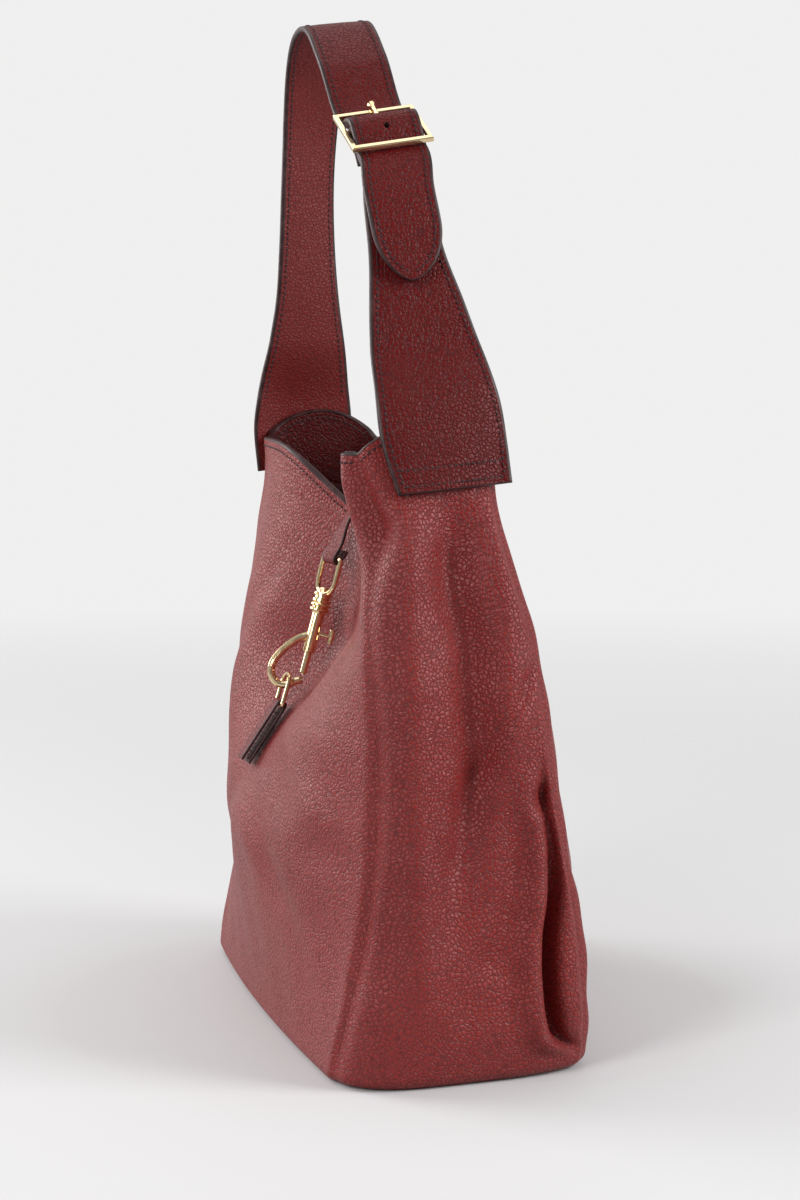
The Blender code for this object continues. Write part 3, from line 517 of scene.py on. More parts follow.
def ripple(p, q, seed, size):
    """A faint unevenness, the same in each run."""
    draws = np.random.default_rng(seed)
    total = np.zeros_like(p)
    for _ in range(9):
        angle = draws.uniform(0, math.pi)
        wave = draws.uniform(0.022, 0.075)
        phase = draws.uniform(0, 2 * math.pi)
        total += np.sin(2 * math.pi * (p * math.cos(angle) + q * math.sin(angle)) / wave + phase)
    return size * total / 3


def relief(side, x, y, z):
    """How far a wall stands out past its CAD surface, from the folds of soft leather."""
    across = x if side in ("front", "back") else y
    waves = ripple(across, z, *RIPPLES[side])
    out = sum(size * line_dent(a, b, across, z, width, reach) for size, a, b, width, reach in DENTS[side])
    if side == "front":
        out += NEAR_BELLY * bell(x, 0.108, 0.034) * bell(z, 0.130, 0.055)
        out -= 0.0030 * bell(x, 0.118, 0.022) * bell(z, 0.118, 0.013)
    elif side == "left":
        top = smoothstep(0.322, 0.296, z)
        waves *= top
        out -= 0.0050 * bell(y, 0.002, 0.0120) * smoothstep(0.05, 0.16, z) * top
        out += 0.0024 * bell(y, -0.026, 0.0110) * smoothstep(0.04, 0.10, z) * top
    elif side == "right":
        top = smoothstep(0.318, 0.278, z)
        waves *= top
        valley = rows_at(VALLEY, z)[..., 1]
        out -= 0.0100 * bell(y, valley, 0.0100) * smoothstep(0.06, 0.16, z) * top
        out += 0.0060 * bell(y, -0.030, 0.0120) * smoothstep(0.02, 0.08, z) * top
        out += 0.0044 * bell(y, 0.025, 0.0100) * smoothstep(0.15, 0.20, z) * top
        fold = rows_at(POCKET, z)
        off, depth = y - fold[..., 1], fold[..., 2]
        out -= depth * np.where(off < 0, bell(off, 0, 0.0024), bell(off, 0, 0.0062))
        out += 0.0050 * bell(off, -0.0090, 0.0070) * smoothstep(0.001, 0.008, depth)
        out -= 0.0045 * bell(y, 0.0400, 0.0060) * bell(z, 0.1500, 0.0070)
        out += 0.0016 * bell(y, -0.010, 0.018) * bell(z, 0.075, 0.030)
    return out + waves


def wall_points(side, u, z, inset):
    """Points on a wall, where u runs from -1 to 1 between its seams and inset is the depth under its face."""
    u, z, inset = np.broadcast_arrays(np.asarray(u, float), np.asarray(z, float), np.asarray(inset, float))
    _, half, front, back, bulge, hollow, dent, back_bulge, back_hollow, puff = np.moveaxis(
        rows_at(SECTIONS, z), -1, 0
    )
    _, turned_in, stands_out = np.moveaxis(rows_at(CORNER_FOLD, z), -1, 0)
    if side in ("front", "back"):
        fold = 1 - u * u
        if side == "front":
            reach = front + fold * bulge - bell(u, 0, HOLLOW_WIDTH) * hollow
            reach = reach - dent * fold * bell(u, DENT_PLACE, DENT_WIDTH)
            reach = reach - turned_in * bell(u, 1.0, 0.045) + stands_out * bell(u, *FOLD_SHAPE)
        else:
            reach = back + fold * back_bulge - bell(u, 0, HOLLOW_WIDTH) * back_hollow
        reach = reach - inset
        x = u * (half - inset)
        y = -reach if side == "front" else reach
        seam = (1 - np.abs(u)) * half
        out = np.array([0.0, -1.0 if side == "front" else 1.0, 0.0])
    else:
        moved = turned_in - stands_out * bell(1.0, *FOLD_SHAPE)
        near = front - inset - (moved if side == "right" else 0.0)
        far = back - inset
        reach = half - inset + gusset_puff(u) * puff
        y = (far - near) / 2 + u * (far + near) / 2
        x = reach if side == "right" else -reach
        seam = (1 - np.abs(u)) * (far + near) / 2
        out = np.array([1.0 if side == "right" else -1.0, 0.0, 0.0])
    points = np.stack([x, y, z], -1)
    stand = relief(side, x, y, z) * smoothstep(0.0, 0.007, seam) * smoothstep(0.0, 0.020, z)
    stand = stand + SEAM_PUFF * (seam / 0.005) * np.exp(1 - seam / 0.005) * smoothstep(0.0, 0.03, z)
    points = points + stand[..., None] * out
    dip = SEAM_DIP * bell(seam, 0, SEAM_WIDTH) * (1 - 0.45 * bell(z, 0.20, 0.09))
    for axis in (0, 1):
        points[..., axis] -= np.sign(points[..., axis]) * dip
    return points


def wall_grid(side, inset, columns, rows, low=0.0, high=1.0):
    """A grid over a wall between two shares of its height. A share of 0 begins under the base."""
    u = WALL_EDGE * np.linspace(-1, 1, columns + 1)
    grid = []
    if low == 0.0:
        for degrees in (0, 15, 30, 45, 60, 75):
            angle = math.radians(degrees)
            lift = BOTTOM_RADIUS - (BOTTOM_RADIUS - inset) * math.cos(angle)
            moved = BOTTOM_RADIUS - (BOTTOM_RADIUS - inset) * math.sin(angle)
            grid.append(wall_points(side, u, lift, moved))
    for share in np.linspace(low, high, rows + 1):
        z = BOTTOM_RADIUS + (rim_height(side, u) - BOTTOM_RADIUS) * share
        grid.append(wall_points(side, u, z, inset))
    return np.stack(grid, 1)


def normals_of(grid):
    """Unit normals over a grid of points."""
    along = np.gradient(grid, axis=1)
    across = np.gradient(grid, axis=0)
    return unit(np.cross(across, along))


# ---------- stitching

def between(run, values, at):
    """A row of values at a distance along a line."""
    return np.array([np.interp(at, run, column) for column in values.T])


def stitches(name, lines, body, pitch=STITCH_PITCH, length=STITCH_LENGTH, radius=THREAD_RADIUS):
    """Separate stitches along lines, each a pair of arrays: places on the leather and its normals there."""
    steps = np.array([-0.5, -0.38, -0.15, 0.15, 0.38, 0.5])
    widths = np.array([0.35, 0.85, 1.0, 1.0, 0.85, 0.35])
    lifts = np.array([-0.5, -0.05, 0.35, 0.35, -0.05, -0.5])
    sides = 6
    turns = 2 * math.pi * np.arange(sides) / sides
    circle = np.stack([np.cos(turns), np.sin(turns)], 1)
    faces_of_one = ring_faces(len(steps), sides)
    points, faces = [], []
    for places, normals in lines:
        gaps = np.linalg.norm(np.diff(places, axis=0), axis=1)
        run = np.concatenate([[0.0], np.cumsum(gaps)])
        count = max(1, int(run[-1] / pitch))
        for middle in (np.arange(count) + 0.5) * run[-1] / count:
            spot, ahead, behind = (between(run, places, middle + shift * length) for shift in (0, 0.5, -0.5))
            normal = unit(between(run, normals, middle))
            tangent = unit(ahead - behind)
            tangent = unit(tangent + STITCH_SLANT * unit(np.cross(normal, tangent)))
            side = np.cross(normal, tangent)
            faces += [[len(points) + corner for corner in face] for face in faces_of_one]
            for step, width, lift in zip(steps, widths, lifts):
                centre = spot + tangent * step * length + normal * lift * radius
                points.extend(centre + radius * width * (circle[:, :1] * side + 0.8 * circle[:, 1:] * normal))
    made = piece(name, points, faces, [THREAD])
    if body:
        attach(made, body)
    return made


def wall_line(side, inset=0.0):
    """A line of stitching along a wall under its rim, with its normals."""
    u = np.linspace(-0.985, 0.985, 160)
    z = rim_height(side, u) - STITCH_INSET
    grid = np.stack([wall_points(side, u, z + step, inset) for step in (-0.001, 0.0, 0.001)], 1)
    normals = normals_of(grid)[:, 1]
    places = grid[:, 1]
    axis = {"front": (0, -1, 0), "back": (0, 1, 0), "right": (1, 0, 0), "left": (-1, 0, 0)}[side]
    wanted = np.array(axis) * (1 if inset == 0.0 else -1)
    flip = np.sign(normals @ wanted)[:, None]
    return places, normals * flip


# ---------- the bag

def make_walls():
    """The leather, facing, lining cloth and painted rim of each wall."""
    for side, name, shell, columns, rows in (
        ("front", "front_leather", "front_panel", 150, 130),
        ("back", "back_leather", "back_panel", 110, 100),
        ("right", "right_side_leather", "right_gusset", 110, 200),
        ("left", "left_side_leather", "left_gusset", 60, 100),
    ):
        band, sheet = "inner_band_" + side, "lining_cloth_" + side
        facing, lining = "facing_" + side, "lining_" + side
        for made_name, material, depth, thickness, grid, shares, node, slot in (
            (name, BODY, 0.0, LEATHER, (columns, rows), (0.0, 1.0), shell, "bag_leather"),
            (band, FACING_LEATHER, FACING_DEPTH, FACING, (60, 14), FACING_SHARES, facing, "edge_leather"),
            (sheet, LINING_CLOTH, FACING_DEPTH, LINING, (60, 60), LINING_SHARES, lining, "lining_cloth"),
        ):
            outer = wall_grid(side, depth, *grid, *shares)
            inner = wall_grid(side, depth + thickness, *grid, *shares)
            made = slab(made_name, outer, inner, material)
            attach(made, "bag")
            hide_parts(node)
        make_rim(side)


def make_rim(side):
    """The painted edge that closes the leather and its facing along the rim."""
    u = RIM_EDGE * np.linspace(-1, 1, 121)
    z = rim_height(side, u)
    depth = FACING_DEPTH + FACING
    profile = []
    for degrees in range(0, 181, 20):
        angle = math.radians(degrees)
        inset = depth / 2 - (depth / 2 + RIM_STAND) * math.cos(angle)
        profile.append(wall_points(side, u, z - RIM_SINK + RIM_CROWN * math.sin(angle), inset))
    for share in (0.75, 0.5, 0.25):
        profile.append(wall_points(side, u, z - RIM_FOOT, depth * share))
    rings = np.stack(profile, 1)
    made = tube("rim_edge_" + side, rings, [PAINT])
    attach(made, "bag")


def floor_outline(inset):
    """Points round the foot of the walls."""
    outline = []
    for side, turn in (("front", 1), ("right", 1), ("back", -1), ("left", -1)):
        count = 40 if side in ("front", "back") else 16
        u = turn * (2 * np.arange(count) / count - 1)
        outline.append(wall_points(side, u * RIM_EDGE, 0.0, inset))
    return np.concatenate(outline)


def make_plate(name, inset, bottom, top, material, node, round_off=0.0006):
    """A flat sheet that fills the bag's outline, with rounded edges."""
    outline = floor_outline(inset)
    centre = outline.mean(0)
    rings = []
    low, high = bottom + round_off, top - round_off
    for z, shrink in ((bottom, 1.0), (bottom, 0.0), (low, -1.0), (high, -1.0), (top, 0.0), (top, 1.0)):
        ring = centre + (outline - centre) * (1 - 0.004 * shrink)
        ring[:, 2] = z
        rings.append(ring)
    made = tube(name, np.array(rings), [material])
    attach(made, "bag")
    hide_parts(node)


def make_seam_threads():
    """The stitching along the rim, outside and inside."""
    stitches("rim_stitches", [wall_line(side) for side in SIDES], "bag")
    inner = [wall_line(side, FACING_DEPTH + FACING) for side in SIDES]
    stitches("rim_inner_stitches", inner, "bag")


# ---------- straps

def across_direction(lean, twist):
    """The direction across a strap that leans out of level and turns about the vertical, in degrees."""
    lean, twist = np.radians(lean), np.radians(twist)
    return np.stack([-np.sin(twist) * np.cos(lean), np.cos(twist) * np.cos(lean), np.sin(lean)], -1)


class Strap:
    """A strap's middle surface as a grid: stations along it, and shares of its half width across it."""

    SHARES = np.linspace(-1, 1, 25)

    def __init__(self, grid, widths):
        self.grid = grid
        self.half = np.asarray(widths) / 2
        middle = grid[:, len(self.SHARES) // 2]
        self.run = np.concatenate([[0.0], np.cumsum(np.linalg.norm(np.diff(middle, axis=0), axis=1))])
        along = np.gradient(grid, axis=0)
        across = np.gradient(grid, axis=1)
        self.normals = unit(np.cross(along, across))

    def at(self, run, offset, height):
        """A point at a distance along the strap, an offset from its middle line and a height over it."""
        run, offset, height = np.broadcast_arrays(run, offset, height)
        i = np.clip(np.searchsorted(self.run, run) - 1, 0, len(self.run) - 2)
        t = ((run - self.run[i]) / (self.run[i + 1] - self.run[i]))[..., None]
        half = np.interp(run, self.run, self.half)
        w = np.clip((offset / half + 1) / 2 * (len(self.SHARES) - 1), 0, len(self.SHARES) - 1)
        j = np.clip(w.astype(int), 0, len(self.SHARES) - 2)
        k = (w - j)[..., None]

        def take(values):
            near = values[i, j] * (1 - k) + values[i, j + 1] * k
            far = values[i + 1, j] * (1 - k) + values[i + 1, j + 1] * k
            return near * (1 - t) + far * t

        normal = unit(take(self.normals))
        return take(self.grid) + normal * height[..., None], normal


def leg_grid(side, table, levels):
    """The middle surface of a strap leg, which lies on the gusset low down and is a free ribbon above it."""
    w = Strap.SHARES
    grid, widths = [], []
    for z in levels:
        row, ahead, behind = (rows_at(table, z + step, column=2) for step in (0.0, 0.002, -0.002))
        tangent = unit(ahead[:3] - behind[:3])
        across = across_direction(row[4], row[5])
        across = unit(across - across @ tangent * tangent)
        free = row[:3] + across * (w * row[3] / 2)[:, None]
        y = row[1] + w * row[3] / 2
        wall_z = z + w * row[3] / 2 * math.tan(TAB_TILT)
        s = rows_at(SECTIONS, np.minimum(wall_z, rim_height(side, 0)))
        u = np.clip((2 * y + s[:, 2] - s[:, 3]) / (s[:, 2] + s[:, 3]), -1, 1)
        reach = s[:, 1] + gusset_puff(u) * s[:, 9] + TAB_GAP + STRAP_THICKNESS / 2
        lying = np.stack([reach if side == "right" else -reach, y, wall_z], -1)
        share = smoothstep(TAB_TOP - 0.010, NECK_TOP, z)
        grid.append(lying * (1 - share) + free * share)
        widths.append(row[3])
    return np.array(grid), np.array(widths)


def route_grid(table, spacing):
    """The middle surface of a free strap along a route."""
    steps = np.linalg.norm(np.diff(table[:, :3], axis=0), axis=1)
    keyed = np.column_stack([np.concatenate([[0.0], np.cumsum(steps)]), table])
    rows = rows_at(keyed, np.linspace(0, keyed[-1, 0], int(keyed[-1, 0] / spacing) + 1))
    tangent = unit(np.gradient(rows[:, 1:4], axis=0))
    across = across_direction(rows[:, 5], rows[:, 6])
    across = unit(across - np.sum(across * tangent, 1, keepdims=True) * tangent)
    grid = rows[:, None, 1:4] + across[:, None] * (Strap.SHARES[None, :, None] * rows[:, None, 4:5] / 2)
    return grid, rows[:, 4]


def buckle_matrix():
    """The buckle's place: its local X is across the strap, Y along it and Z out of it."""
    across = Vector((0, math.cos(BUCKLE_LEAN), math.sin(BUCKLE_LEAN)))
    along = Vector((
        -math.cos(BUCKLE_SLOPE), -math.sin(BUCKLE_SLOPE) * across.z, math.sin(BUCKLE_SLOPE) * across.y,
    ))
    turned = Matrix((across, along, across.cross(along))).transposed()
    return Matrix.Translation(BUCKLE_CENTRE) @ turned.to_4x4()


def buckle_row(along, outward, width=FLAP_WIDTH):
    """A row of a strap route, from a place in the buckle."""
    place = buckle_matrix() @ Vector((0, along, outward))
    return [*place, width, math.degrees(BUCKLE_LEAN), 0.0]


def cross_section(half, thickness, groove):
    """Offsets, heights and material slots round a strap's section: outer face, edge, inner face, edge."""
    lip = thickness * 0.32
    insets = np.array([0.0010, 0.0022, 0.0036, STITCH_INSET, 0.0050, 0.0066, 0.0100, 0.0140])
    insets = lip + insets * min(1.0, max(half - lip, 0.0002) / 0.019)
    falls = np.array([0.10, 0.0, 0.35, 0.55, 0.35, 0.0, -0.35, -0.50]) * groove
    offsets = np.concatenate([-(half - insets), [0.0], (half - insets)[::-1]])
    heights = thickness / 2 - np.concatenate([falls, [-0.55 * groove], falls[::-1]])
    slots = [0] * len(offsets)
    turns = np.radians(np.arange(75, -76, -25))
    edge_offsets = half - lip + lip * np.cos(turns)
    edge_heights = thickness / 2 * np.sin(turns)
    offsets = np.concatenate([offsets, edge_offsets])
    heights = np.concatenate([heights, edge_heights])
    slots[-1] = 1
    slots += [1] * len(turns)
    under = np.linspace(1, -1, 9) * (half - lip - 0.0010 * min(1.0, half / 0.02))
    offsets = np.concatenate([offsets, under])
    heights = np.concatenate([heights, np.full(9, -thickness / 2)])
    slots += [2] * 8 + [1]
    offsets = np.concatenate([offsets, -edge_offsets[::-1]])
    heights = np.concatenate([heights, edge_heights[::-1]])
    slots += [1] * len(turns)
    return offsets, heights, slots


def make_band(name, strap, thickness, step=0.0016, groove=0.0003):
    """A strap's mesh: leather faces, and painted edges that round off both of its ends."""
    length = strap.run[-1]
    runs = np.linspace(0, length, int(length / step) + 1)
    inner = runs[(runs > 0.0012) & (runs < length - 0.0012)]
    runs = np.concatenate([[0.0, 0.0003, 0.0008], inner, length - np.array([0.0008, 0.0003, 0.0])])
    thick = np.ones(len(runs))
    thick[:3] = (0.45, 0.80, 0.96)
    thick[-3:] = (0.96, 0.80, 0.45)
    rings = []
    for run, share in zip(runs, thick):
        half = np.interp(run, strap.run, strap.half)
        offsets, heights, slots = cross_section(half, thickness, groove)
        rings.append(strap.at(run, offsets, heights * share)[0])
    end = [1] * 2 * len(slots)
    slots = end + slots * (len(runs) - 5) + end + [1, 1]
    return tube(name, np.array(rings), [STRAP, PAINT, UNDER], slots)


def edge_line(strap, side, start, stop, height):
    """A stitching line inside one edge of a strap, kept square to that edge where the strap narrows."""
    runs = np.linspace(start, stop, 400)
    half = np.interp(runs, strap.run, strap.half)
    slope = np.gradient(half, runs)
    size = np.sqrt(1 + slope ** 2)
    offset_runs = runs + STITCH_INSET * slope / size
    offsets = half - STITCH_INSET / size
    keep = (offsets > 0.0004) & (offset_runs >= start) & (offset_runs <= strap.run[-1])
    order = np.argsort(offset_runs[keep])
    return strap.at(offset_runs[keep][order], side * offsets[keep][order], height)


def narrowed(widths, run):
    """Widths drawn in to a rounded point at the end of a strap."""
    share = np.clip((run[-1] - run) / FLAP_POINT, 0, 1)
    return np.where(share < 1, np.maximum(widths * np.sin(math.pi / 2 * share ** 0.62), 0.0035), widths)


def make_strap():
    """The long strap and the short strap, from the tabs on the gussets to the buckle, with their stitches."""
    levels = np.arange(TAB_BOTTOM, NECK_TOP, 0.0015)
    legs = {side: leg_grid(side, table, levels) for side, table in (("right", RIGHT_LEG), ("left", LEFT_LEG))}

    # The left leg, over the top, through the buckle and down to the pointed end
    start = rows_at(LEFT_LEG, NECK_TOP, column=2)
    weave = [buckle_row(*spot) for spot in BUCKLE_WEAVE]
    table = np.array([start, *LEFT_LEG[LEFT_LEG[:, 2] > NECK_TOP], *ARCH, *weave, *FLAP])
    grid, widths = route_grid(table, 0.0020)
    grid = np.concatenate([legs["left"][0], grid])
    widths = np.concatenate([legs["left"][1], widths])
    plain = Strap(grid, widths)
    new_widths = narrowed(widths, plain.run)
    middle = grid[:, [len(Strap.SHARES) // 2]]
    grid = middle + (grid - middle) * (new_widths / widths)[:, None, None]
    long_strap = Strap(grid, new_widths)

    # The right leg up to the buckle's centre bar
    start = rows_at(RIGHT_LEG, NECK_TOP, column=2)
    approach = [buckle_row(*spot, SHORT_END_WIDTH) for spot in BUCKLE_APPROACH]
    table = np.array([start, *RIGHT_LEG[RIGHT_LEG[:, 2] > NECK_TOP], *approach])
    grid, widths = route_grid(table, 0.0020)
    grid = np.concatenate([legs["right"][0], grid])[:, ::-1]
    widths = np.concatenate([legs["right"][1], widths])
    short_strap = Strap(grid, widths)

    for name, strap, side, x in (
        ("long_strap", long_strap, "left", -0.131),
        ("short_strap", short_strap, "right", 0.130),
    ):
        nodes = ("strap_tab_" + side, "strap_neck_" + side, name + "_outer", name + "_lining")
        band = make_band(name, strap, STRAP_THICKNESS)
        top = STRAP_THICKNESS / 2 - 0.0001
        last = strap.run[-1] - (0.001 if name == "long_strap" else 0.004)
        lines = [edge_line(strap, edge, 0.0045, last, top) for edge in (-1, 1)]
        for row in TAB_STITCH_ROWS:
            offsets = np.linspace(-1, 1, 60) * (np.interp(row, strap.run, strap.half) - STITCH_INSET)
            lines.append(strap.at(row, offsets, top))
        sewn = stitches(name + "_stitches", lines, None)
        under = []
        for edge in (-1, 1):
            places, normals = edge_line(strap, edge, UNDER_STITCH_START, last, -STRAP_THICKNESS / 2)
            under.append((places, -normals))
        sewn_under = stitches(name + "_under_stitches", under, None)
        if name == "long_strap":
            cut_holes(band)
        for made in (band, sewn, sewn_under):
            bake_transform(made)
        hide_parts(*nodes)
    make_turned_end()


def cut_holes(band):
    """The punched hole that shows on the bulge over the centre bar, and the one that the prong uses."""
    bm = bmesh.new()
    matrix = buckle_matrix()
    for along, outward, radius, depth in HOLES:
        spot = matrix @ Matrix.Translation((0, along, outward))
        bmesh.ops.create_cone(
            bm, cap_ends=True, segments=20, radius1=radius, radius2=radius, depth=2 * depth, matrix=spot,
        )
    mesh = bpy.data.meshes.new("punch")
    bm.to_mesh(mesh)
    bm.free()
    mesh.materials.append(PAINT)
    punch = add_object("punch", mesh)
    cut = band.modifiers.new("punch", "BOOLEAN")
    cut.operation, cut.solver, cut.object, cut.material_mode = "DIFFERENCE", "EXACT", punch, "TRANSFER"
    bpy.context.view_layer.update()
    graph = bpy.context.evaluated_depsgraph_get()
    done = bpy.data.meshes.new_from_object(band.evaluated_get(graph))
    band.modifiers.remove(cut)
    band.data = done
    bpy.data.objects.remove(punch)


def make_turned_end():
    """The short strap's outer ply, turned over the centre bar and back under itself."""
    matrix = buckle_matrix()
    radius = CENTRE_BAR_RADIUS + GAP + PLY / 2
    spots = [(-0.0080, -0.0012)]
    for degrees in range(140, -101, -12):
        angle = math.radians(degrees)
        spots.append((radius * math.cos(angle), radius * math.sin(angle)))
    spots += [(-0.0050, -0.0060), (-0.0100, -0.0092), (-0.0150, -0.0128)]
    places = np.array([matrix @ Vector((0, *spot)) for spot in spots])
    across = np.array(matrix.to_3x3() @ Vector((-1, 0, 0)))
    grid = places[:, None] + across * (Strap.SHARES[:, None] * SHORT_END_WIDTH / 2)
    strap = Strap(grid, np.full(len(places), SHORT_END_WIDTH))
    made = make_band("short_strap_turned_end", strap, PLY, groove=0.0)
    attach(made, "handle")


# ---------- closure strap and ring tab

def turn_round_bar(bar, arriving, radius, steps=14):
    """A half turn round a bar along X, for a strip that comes to it in the direction given."""
    side = Vector((0, arriving.z, -arriving.y))
    return [
        bar + radius * (math.cos(math.pi * k / steps) * side + math.sin(math.pi * k / steps) * arriving)
        for k in range(steps + 1)
    ]


def curve_points(knots, steps):
    """Even points on a smooth curve through places given by y and z."""
    table = np.array([[0.0, y, z] for y, z in knots])
    table[1:, 0] = np.cumsum(np.linalg.norm(np.diff(table[:, 1:], axis=0), axis=1))
    rows = rows_at(table, np.linspace(0, table[-1, 0], steps + 1))
    return [Vector((0, row[1], row[2])) for row in rows]


def strip(path, width):
    """The middle surface of a leather strip across X, along a path."""
    return np.array(path)[:, None] + np.array([-1.0, 0, 0]) * (Strap.SHARES[:, None] * width / 2)


def make_strip(name, strap, node):
    band = make_band(name, strap, CLOSURE_PLY, step=0.0008, groove=0.0)
    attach(band, "bag")
    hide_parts(node)


def make_closure():
    """The strap from the back over the opening, folded round the clasp's eye and turned with it."""
    radius = EYE_WIRE + GAP + CLOSURE_PLY / 2
    fold = turn_round_bar(EYE_BAR, CLOSURE_SLOPE, radius)
    before_fold = fold[0] - 0.006 * CLOSURE_SLOPE
    route = [*CLOSURE_ROUTE, before_fold.yz, fold[0].yz]
    path = curve_points(route, 60)[:-1] + fold
    path += [fold[-1] - CLOSURE_SLOPE * CLOSURE_TAIL * share for share in (0.25, 0.5, 0.75, 1.0)]
    grid = strip(path, CLOSURE_WIDTH)
    tilt = Matrix.Rotation(-CLASP_TILT, 3, "X")
    axis = tilt @ Vector((0, 0, 1))
    for column in grid:
        for j in range(len(column)):
            spot = Vector(column[j])
            share = float(smoothstep(0.290, 0.274, spot.z)) * (spot.y < 0)
            column[j] = EYE_BAR + Matrix.Rotation(EYE_TURN * share, 3, axis) @ (spot - EYE_BAR)
    strap = Strap(grid, np.full(len(grid), CLOSURE_WIDTH))
    make_strip("closure_band", strap, "closure_strap")
    runs = np.linspace(0.004, strap.run[-1] * 0.62, 120)
    side = CLOSURE_WIDTH / 2 - CLOSURE_STITCH_INSET
    lines = [strap.at(runs, edge * side, CLOSURE_PLY / 2) for edge in (-1, 1)]
    stitches("closure_stitches", lines, "bag", pitch=0.0028, length=0.0020, radius=0.0003)


def make_ring_tab():
    """The leather loop on the front, folded round the ring's bar."""
    up_slope = (RING_BAR - RING_TAB_END).normalized()
    radius = RING_WIRE + GAP + CLOSURE_PLY / 2
    fold = turn_round_bar(RING_BAR, up_slope, radius)
    length = (RING_BAR - RING_TAB_END).length
    outer = [fold[0] - up_slope * length * share for share in np.linspace(1, 0, 24)[:-1]]
    inner = [fold[-1] - up_slope * length * share for share in np.linspace(0, 1, 24)[1:]]
    path = outer + fold + inner
    strap = Strap(strip(path, CLOSURE_WIDTH), np.full(len(path), CLOSURE_WIDTH))
    make_strip("ring_tab_band", strap, "ring_tab")
    side = CLOSURE_WIDTH / 2 - CLOSURE_STITCH_INSET
    top = CLOSURE_PLY / 2
    runs = np.linspace(0.0025, length - 0.004, 60)
    lines = [strap.at(runs, edge * side, top) for edge in (-1, 1)]
    for run in (0.0025, length - 0.005):
        lines.append(strap.at(run, np.linspace(-side, side, 30), top))
    stitches("ring_tab_stitches", lines, "bag", pitch=0.0026, length=0.0019, radius=0.0003)


# ---------- CAD nodes that stay

def finish_nodes():
    """New materials for the CAD solids that stay."""
    buckle = ("buckle_frame", "buckle_bar", "buckle_prong")
    clasp = ("swivel_eye", "hook_body", "hook_bolt", "thumb_knob", "tab_ring")
    for name in buckle + clasp:
        dress(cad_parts[name], GOLD)
    make_spring()
    dress(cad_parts["base_board"], BOARD)


def make_spring():
    """The bolt's spring, a copy of its CAD coil, attached to the hook."""
    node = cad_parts["bolt_spring"]
    spring = add_object("bolt_coil", node.data.copy())
    dress(spring, STEEL)
    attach(spring, "hook")
    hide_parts("bolt_spring")
    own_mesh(spring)


def dress(node, material):
    """Gives a CAD mesh a material and smooth shading over its facets."""
    mesh = node.data
    mesh.materials.clear()
    mesh.materials.append(material)
    if mesh.has_custom_normals:
        mesh.attributes.remove(mesh.attributes["custom_normal"])
    mesh.shade_smooth()
    mesh.set_sharp_from_angle(angle=METAL_SHARP_ANGLE)


# ---------- studio

def make_floor():
    """A round pale floor that fades into the backdrop away from the bag."""
    sides, radius, level = 96, 6.0, -0.0002
    turns = [2 * math.pi * k / sides for k in range(sides)]
    mesh = bpy.data.meshes.new("floor")
    ring = [(radius * math.cos(turn), radius * math.sin(turn), level) for turn in turns]
    mesh.from_pydata(ring, [], [list(range(sides))])
    n = Nodes("floor")
    n.set(Base_Color=(0.58, 0.575, 0.58, 1.0), Roughness=0.65, Specular_IOR_Level=0.25)
    length = n.add("ShaderNodeVectorMath", {"operation": "LENGTH"}, i0=n.place).outputs["Value"]
    away = n.add("ShaderNodeMapRange", i0=length, i1=0.20, i2=2.3).outputs[0]
    clear = n.add("ShaderNodeBsdfTransparent").outputs[0]
    mix = n.add("ShaderNodeMixShader", i0=n.math("SQRT", away), i1=n.shader.outputs[0], i2=clear)
    n.put(n.tree.nodes["Material Output"].inputs["Surface"], mix.outputs[0])
    mesh.materials.append(n.material)
    add_object("floor", mesh)


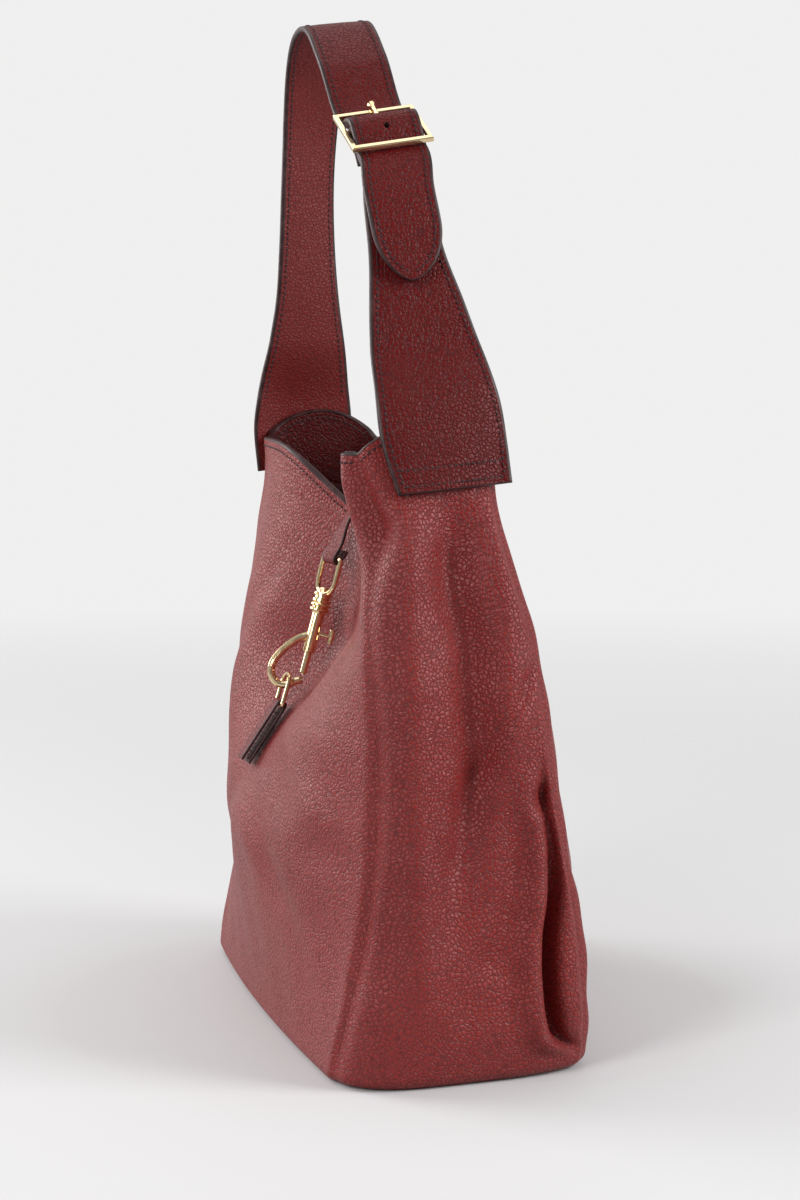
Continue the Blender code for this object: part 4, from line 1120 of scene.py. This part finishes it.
def make_world():
    """A pale backdrop for the camera, and a dimmer light from all round that is weaker from +X."""
    world = bpy.data.worlds.new("studio")
    n = Nodes("studio", world)
    n.set(Color=(0.872, 0.868, 0.868, 1.0), Strength=1.0)
    direction = n.add("ShaderNodeTexCoord").outputs["Generated"]
    split = n.add("ShaderNodeSeparateXYZ", i0=direction)
    level = n.add("ShaderNodeMapRange", i0=split.outputs["X"], i1=0.9, i2=-0.9, i3=0.20, i4=0.62)
    light = n.add("ShaderNodeBackground", Color=(1.0, 0.99, 0.985, 1.0), Strength=level.outputs[0])
    seen = n.add("ShaderNodeLightPath").outputs["Is Camera Ray"]
    mix = n.add("ShaderNodeMixShader", i0=seen, i1=light.outputs[0], i2=n.shader.outputs[0])
    n.put(n.tree.nodes["World Output"].inputs["Surface"], mix.outputs[0])
    bpy.context.scene.world = world


def area_light(name, place, target, size, power):
    light = bpy.data.lights.new(name, "AREA")
    light.shape = "RECTANGLE"
    light.size, light.size_y = size
    light.energy = power
    made = add_object(name, light)
    made.location = place
    made.rotation_mode = "QUATERNION"
    made.rotation_quaternion = (Vector(target) - Vector(place)).to_track_quat("-Z", "Y")
    made.visible_camera = False


def make_studio():
    """The backdrop, the floor and four soft lights."""
    make_world()
    make_floor()
    middle = (0.0, 0.0, 0.25)
    area_light("key", (-1.00, -1.25, 0.90), middle, (1.0, 1.3), 24.0)
    area_light("side", (0.90, -1.15, 0.90), middle, (0.5, 1.0), 14.0)
    area_light("fill", (0.80, 1.25, 0.90), middle, (0.7, 1.1), 25.0)
    area_light("top", (-0.30, 0.0, 1.90), middle, (1.4, 1.4), 7.0)
    bpy.context.scene.view_settings.view_transform = "Standard"


def make_camera():
    """The photograph's view, fitted to the corners of the bag and the ends of its strap."""
    data = bpy.data.cameras.new("camera")
    data.lens = 75.79
    data.sensor_width = 36.0
    data.clip_start = 0.05
    camera = add_object("camera", data)
    camera.location = (1.4378, -0.3715, 0.3915)
    azimuth, pitch = math.radians(75.3), math.radians(5.731)
    level = Vector((-math.sin(azimuth), math.cos(azimuth), 0))
    ahead = level * math.cos(pitch) - Vector((0, 0, math.sin(pitch)))
    camera.rotation_mode = "QUATERNION"
    camera.rotation_quaternion = ahead.to_track_quat("-Z", "Y")
    bpy.context.scene.camera = camera


make_camera()
make_studio()
make_walls()
make_plate("base_leather", BOTTOM_RADIUS + 0.0006, 0.0, LEATHER, BODY, "base_panel")
make_plate(
    "lining_cloth_base", BOTTOM_RADIUS + 0.001, BOARD_TOP + GAP, BOARD_TOP + GAP + LINING, LINING_CLOTH,
    "lining_base", 0.0002,
)
make_seam_threads()
make_strap()
make_closure()
make_ring_tab()
finish_nodes()
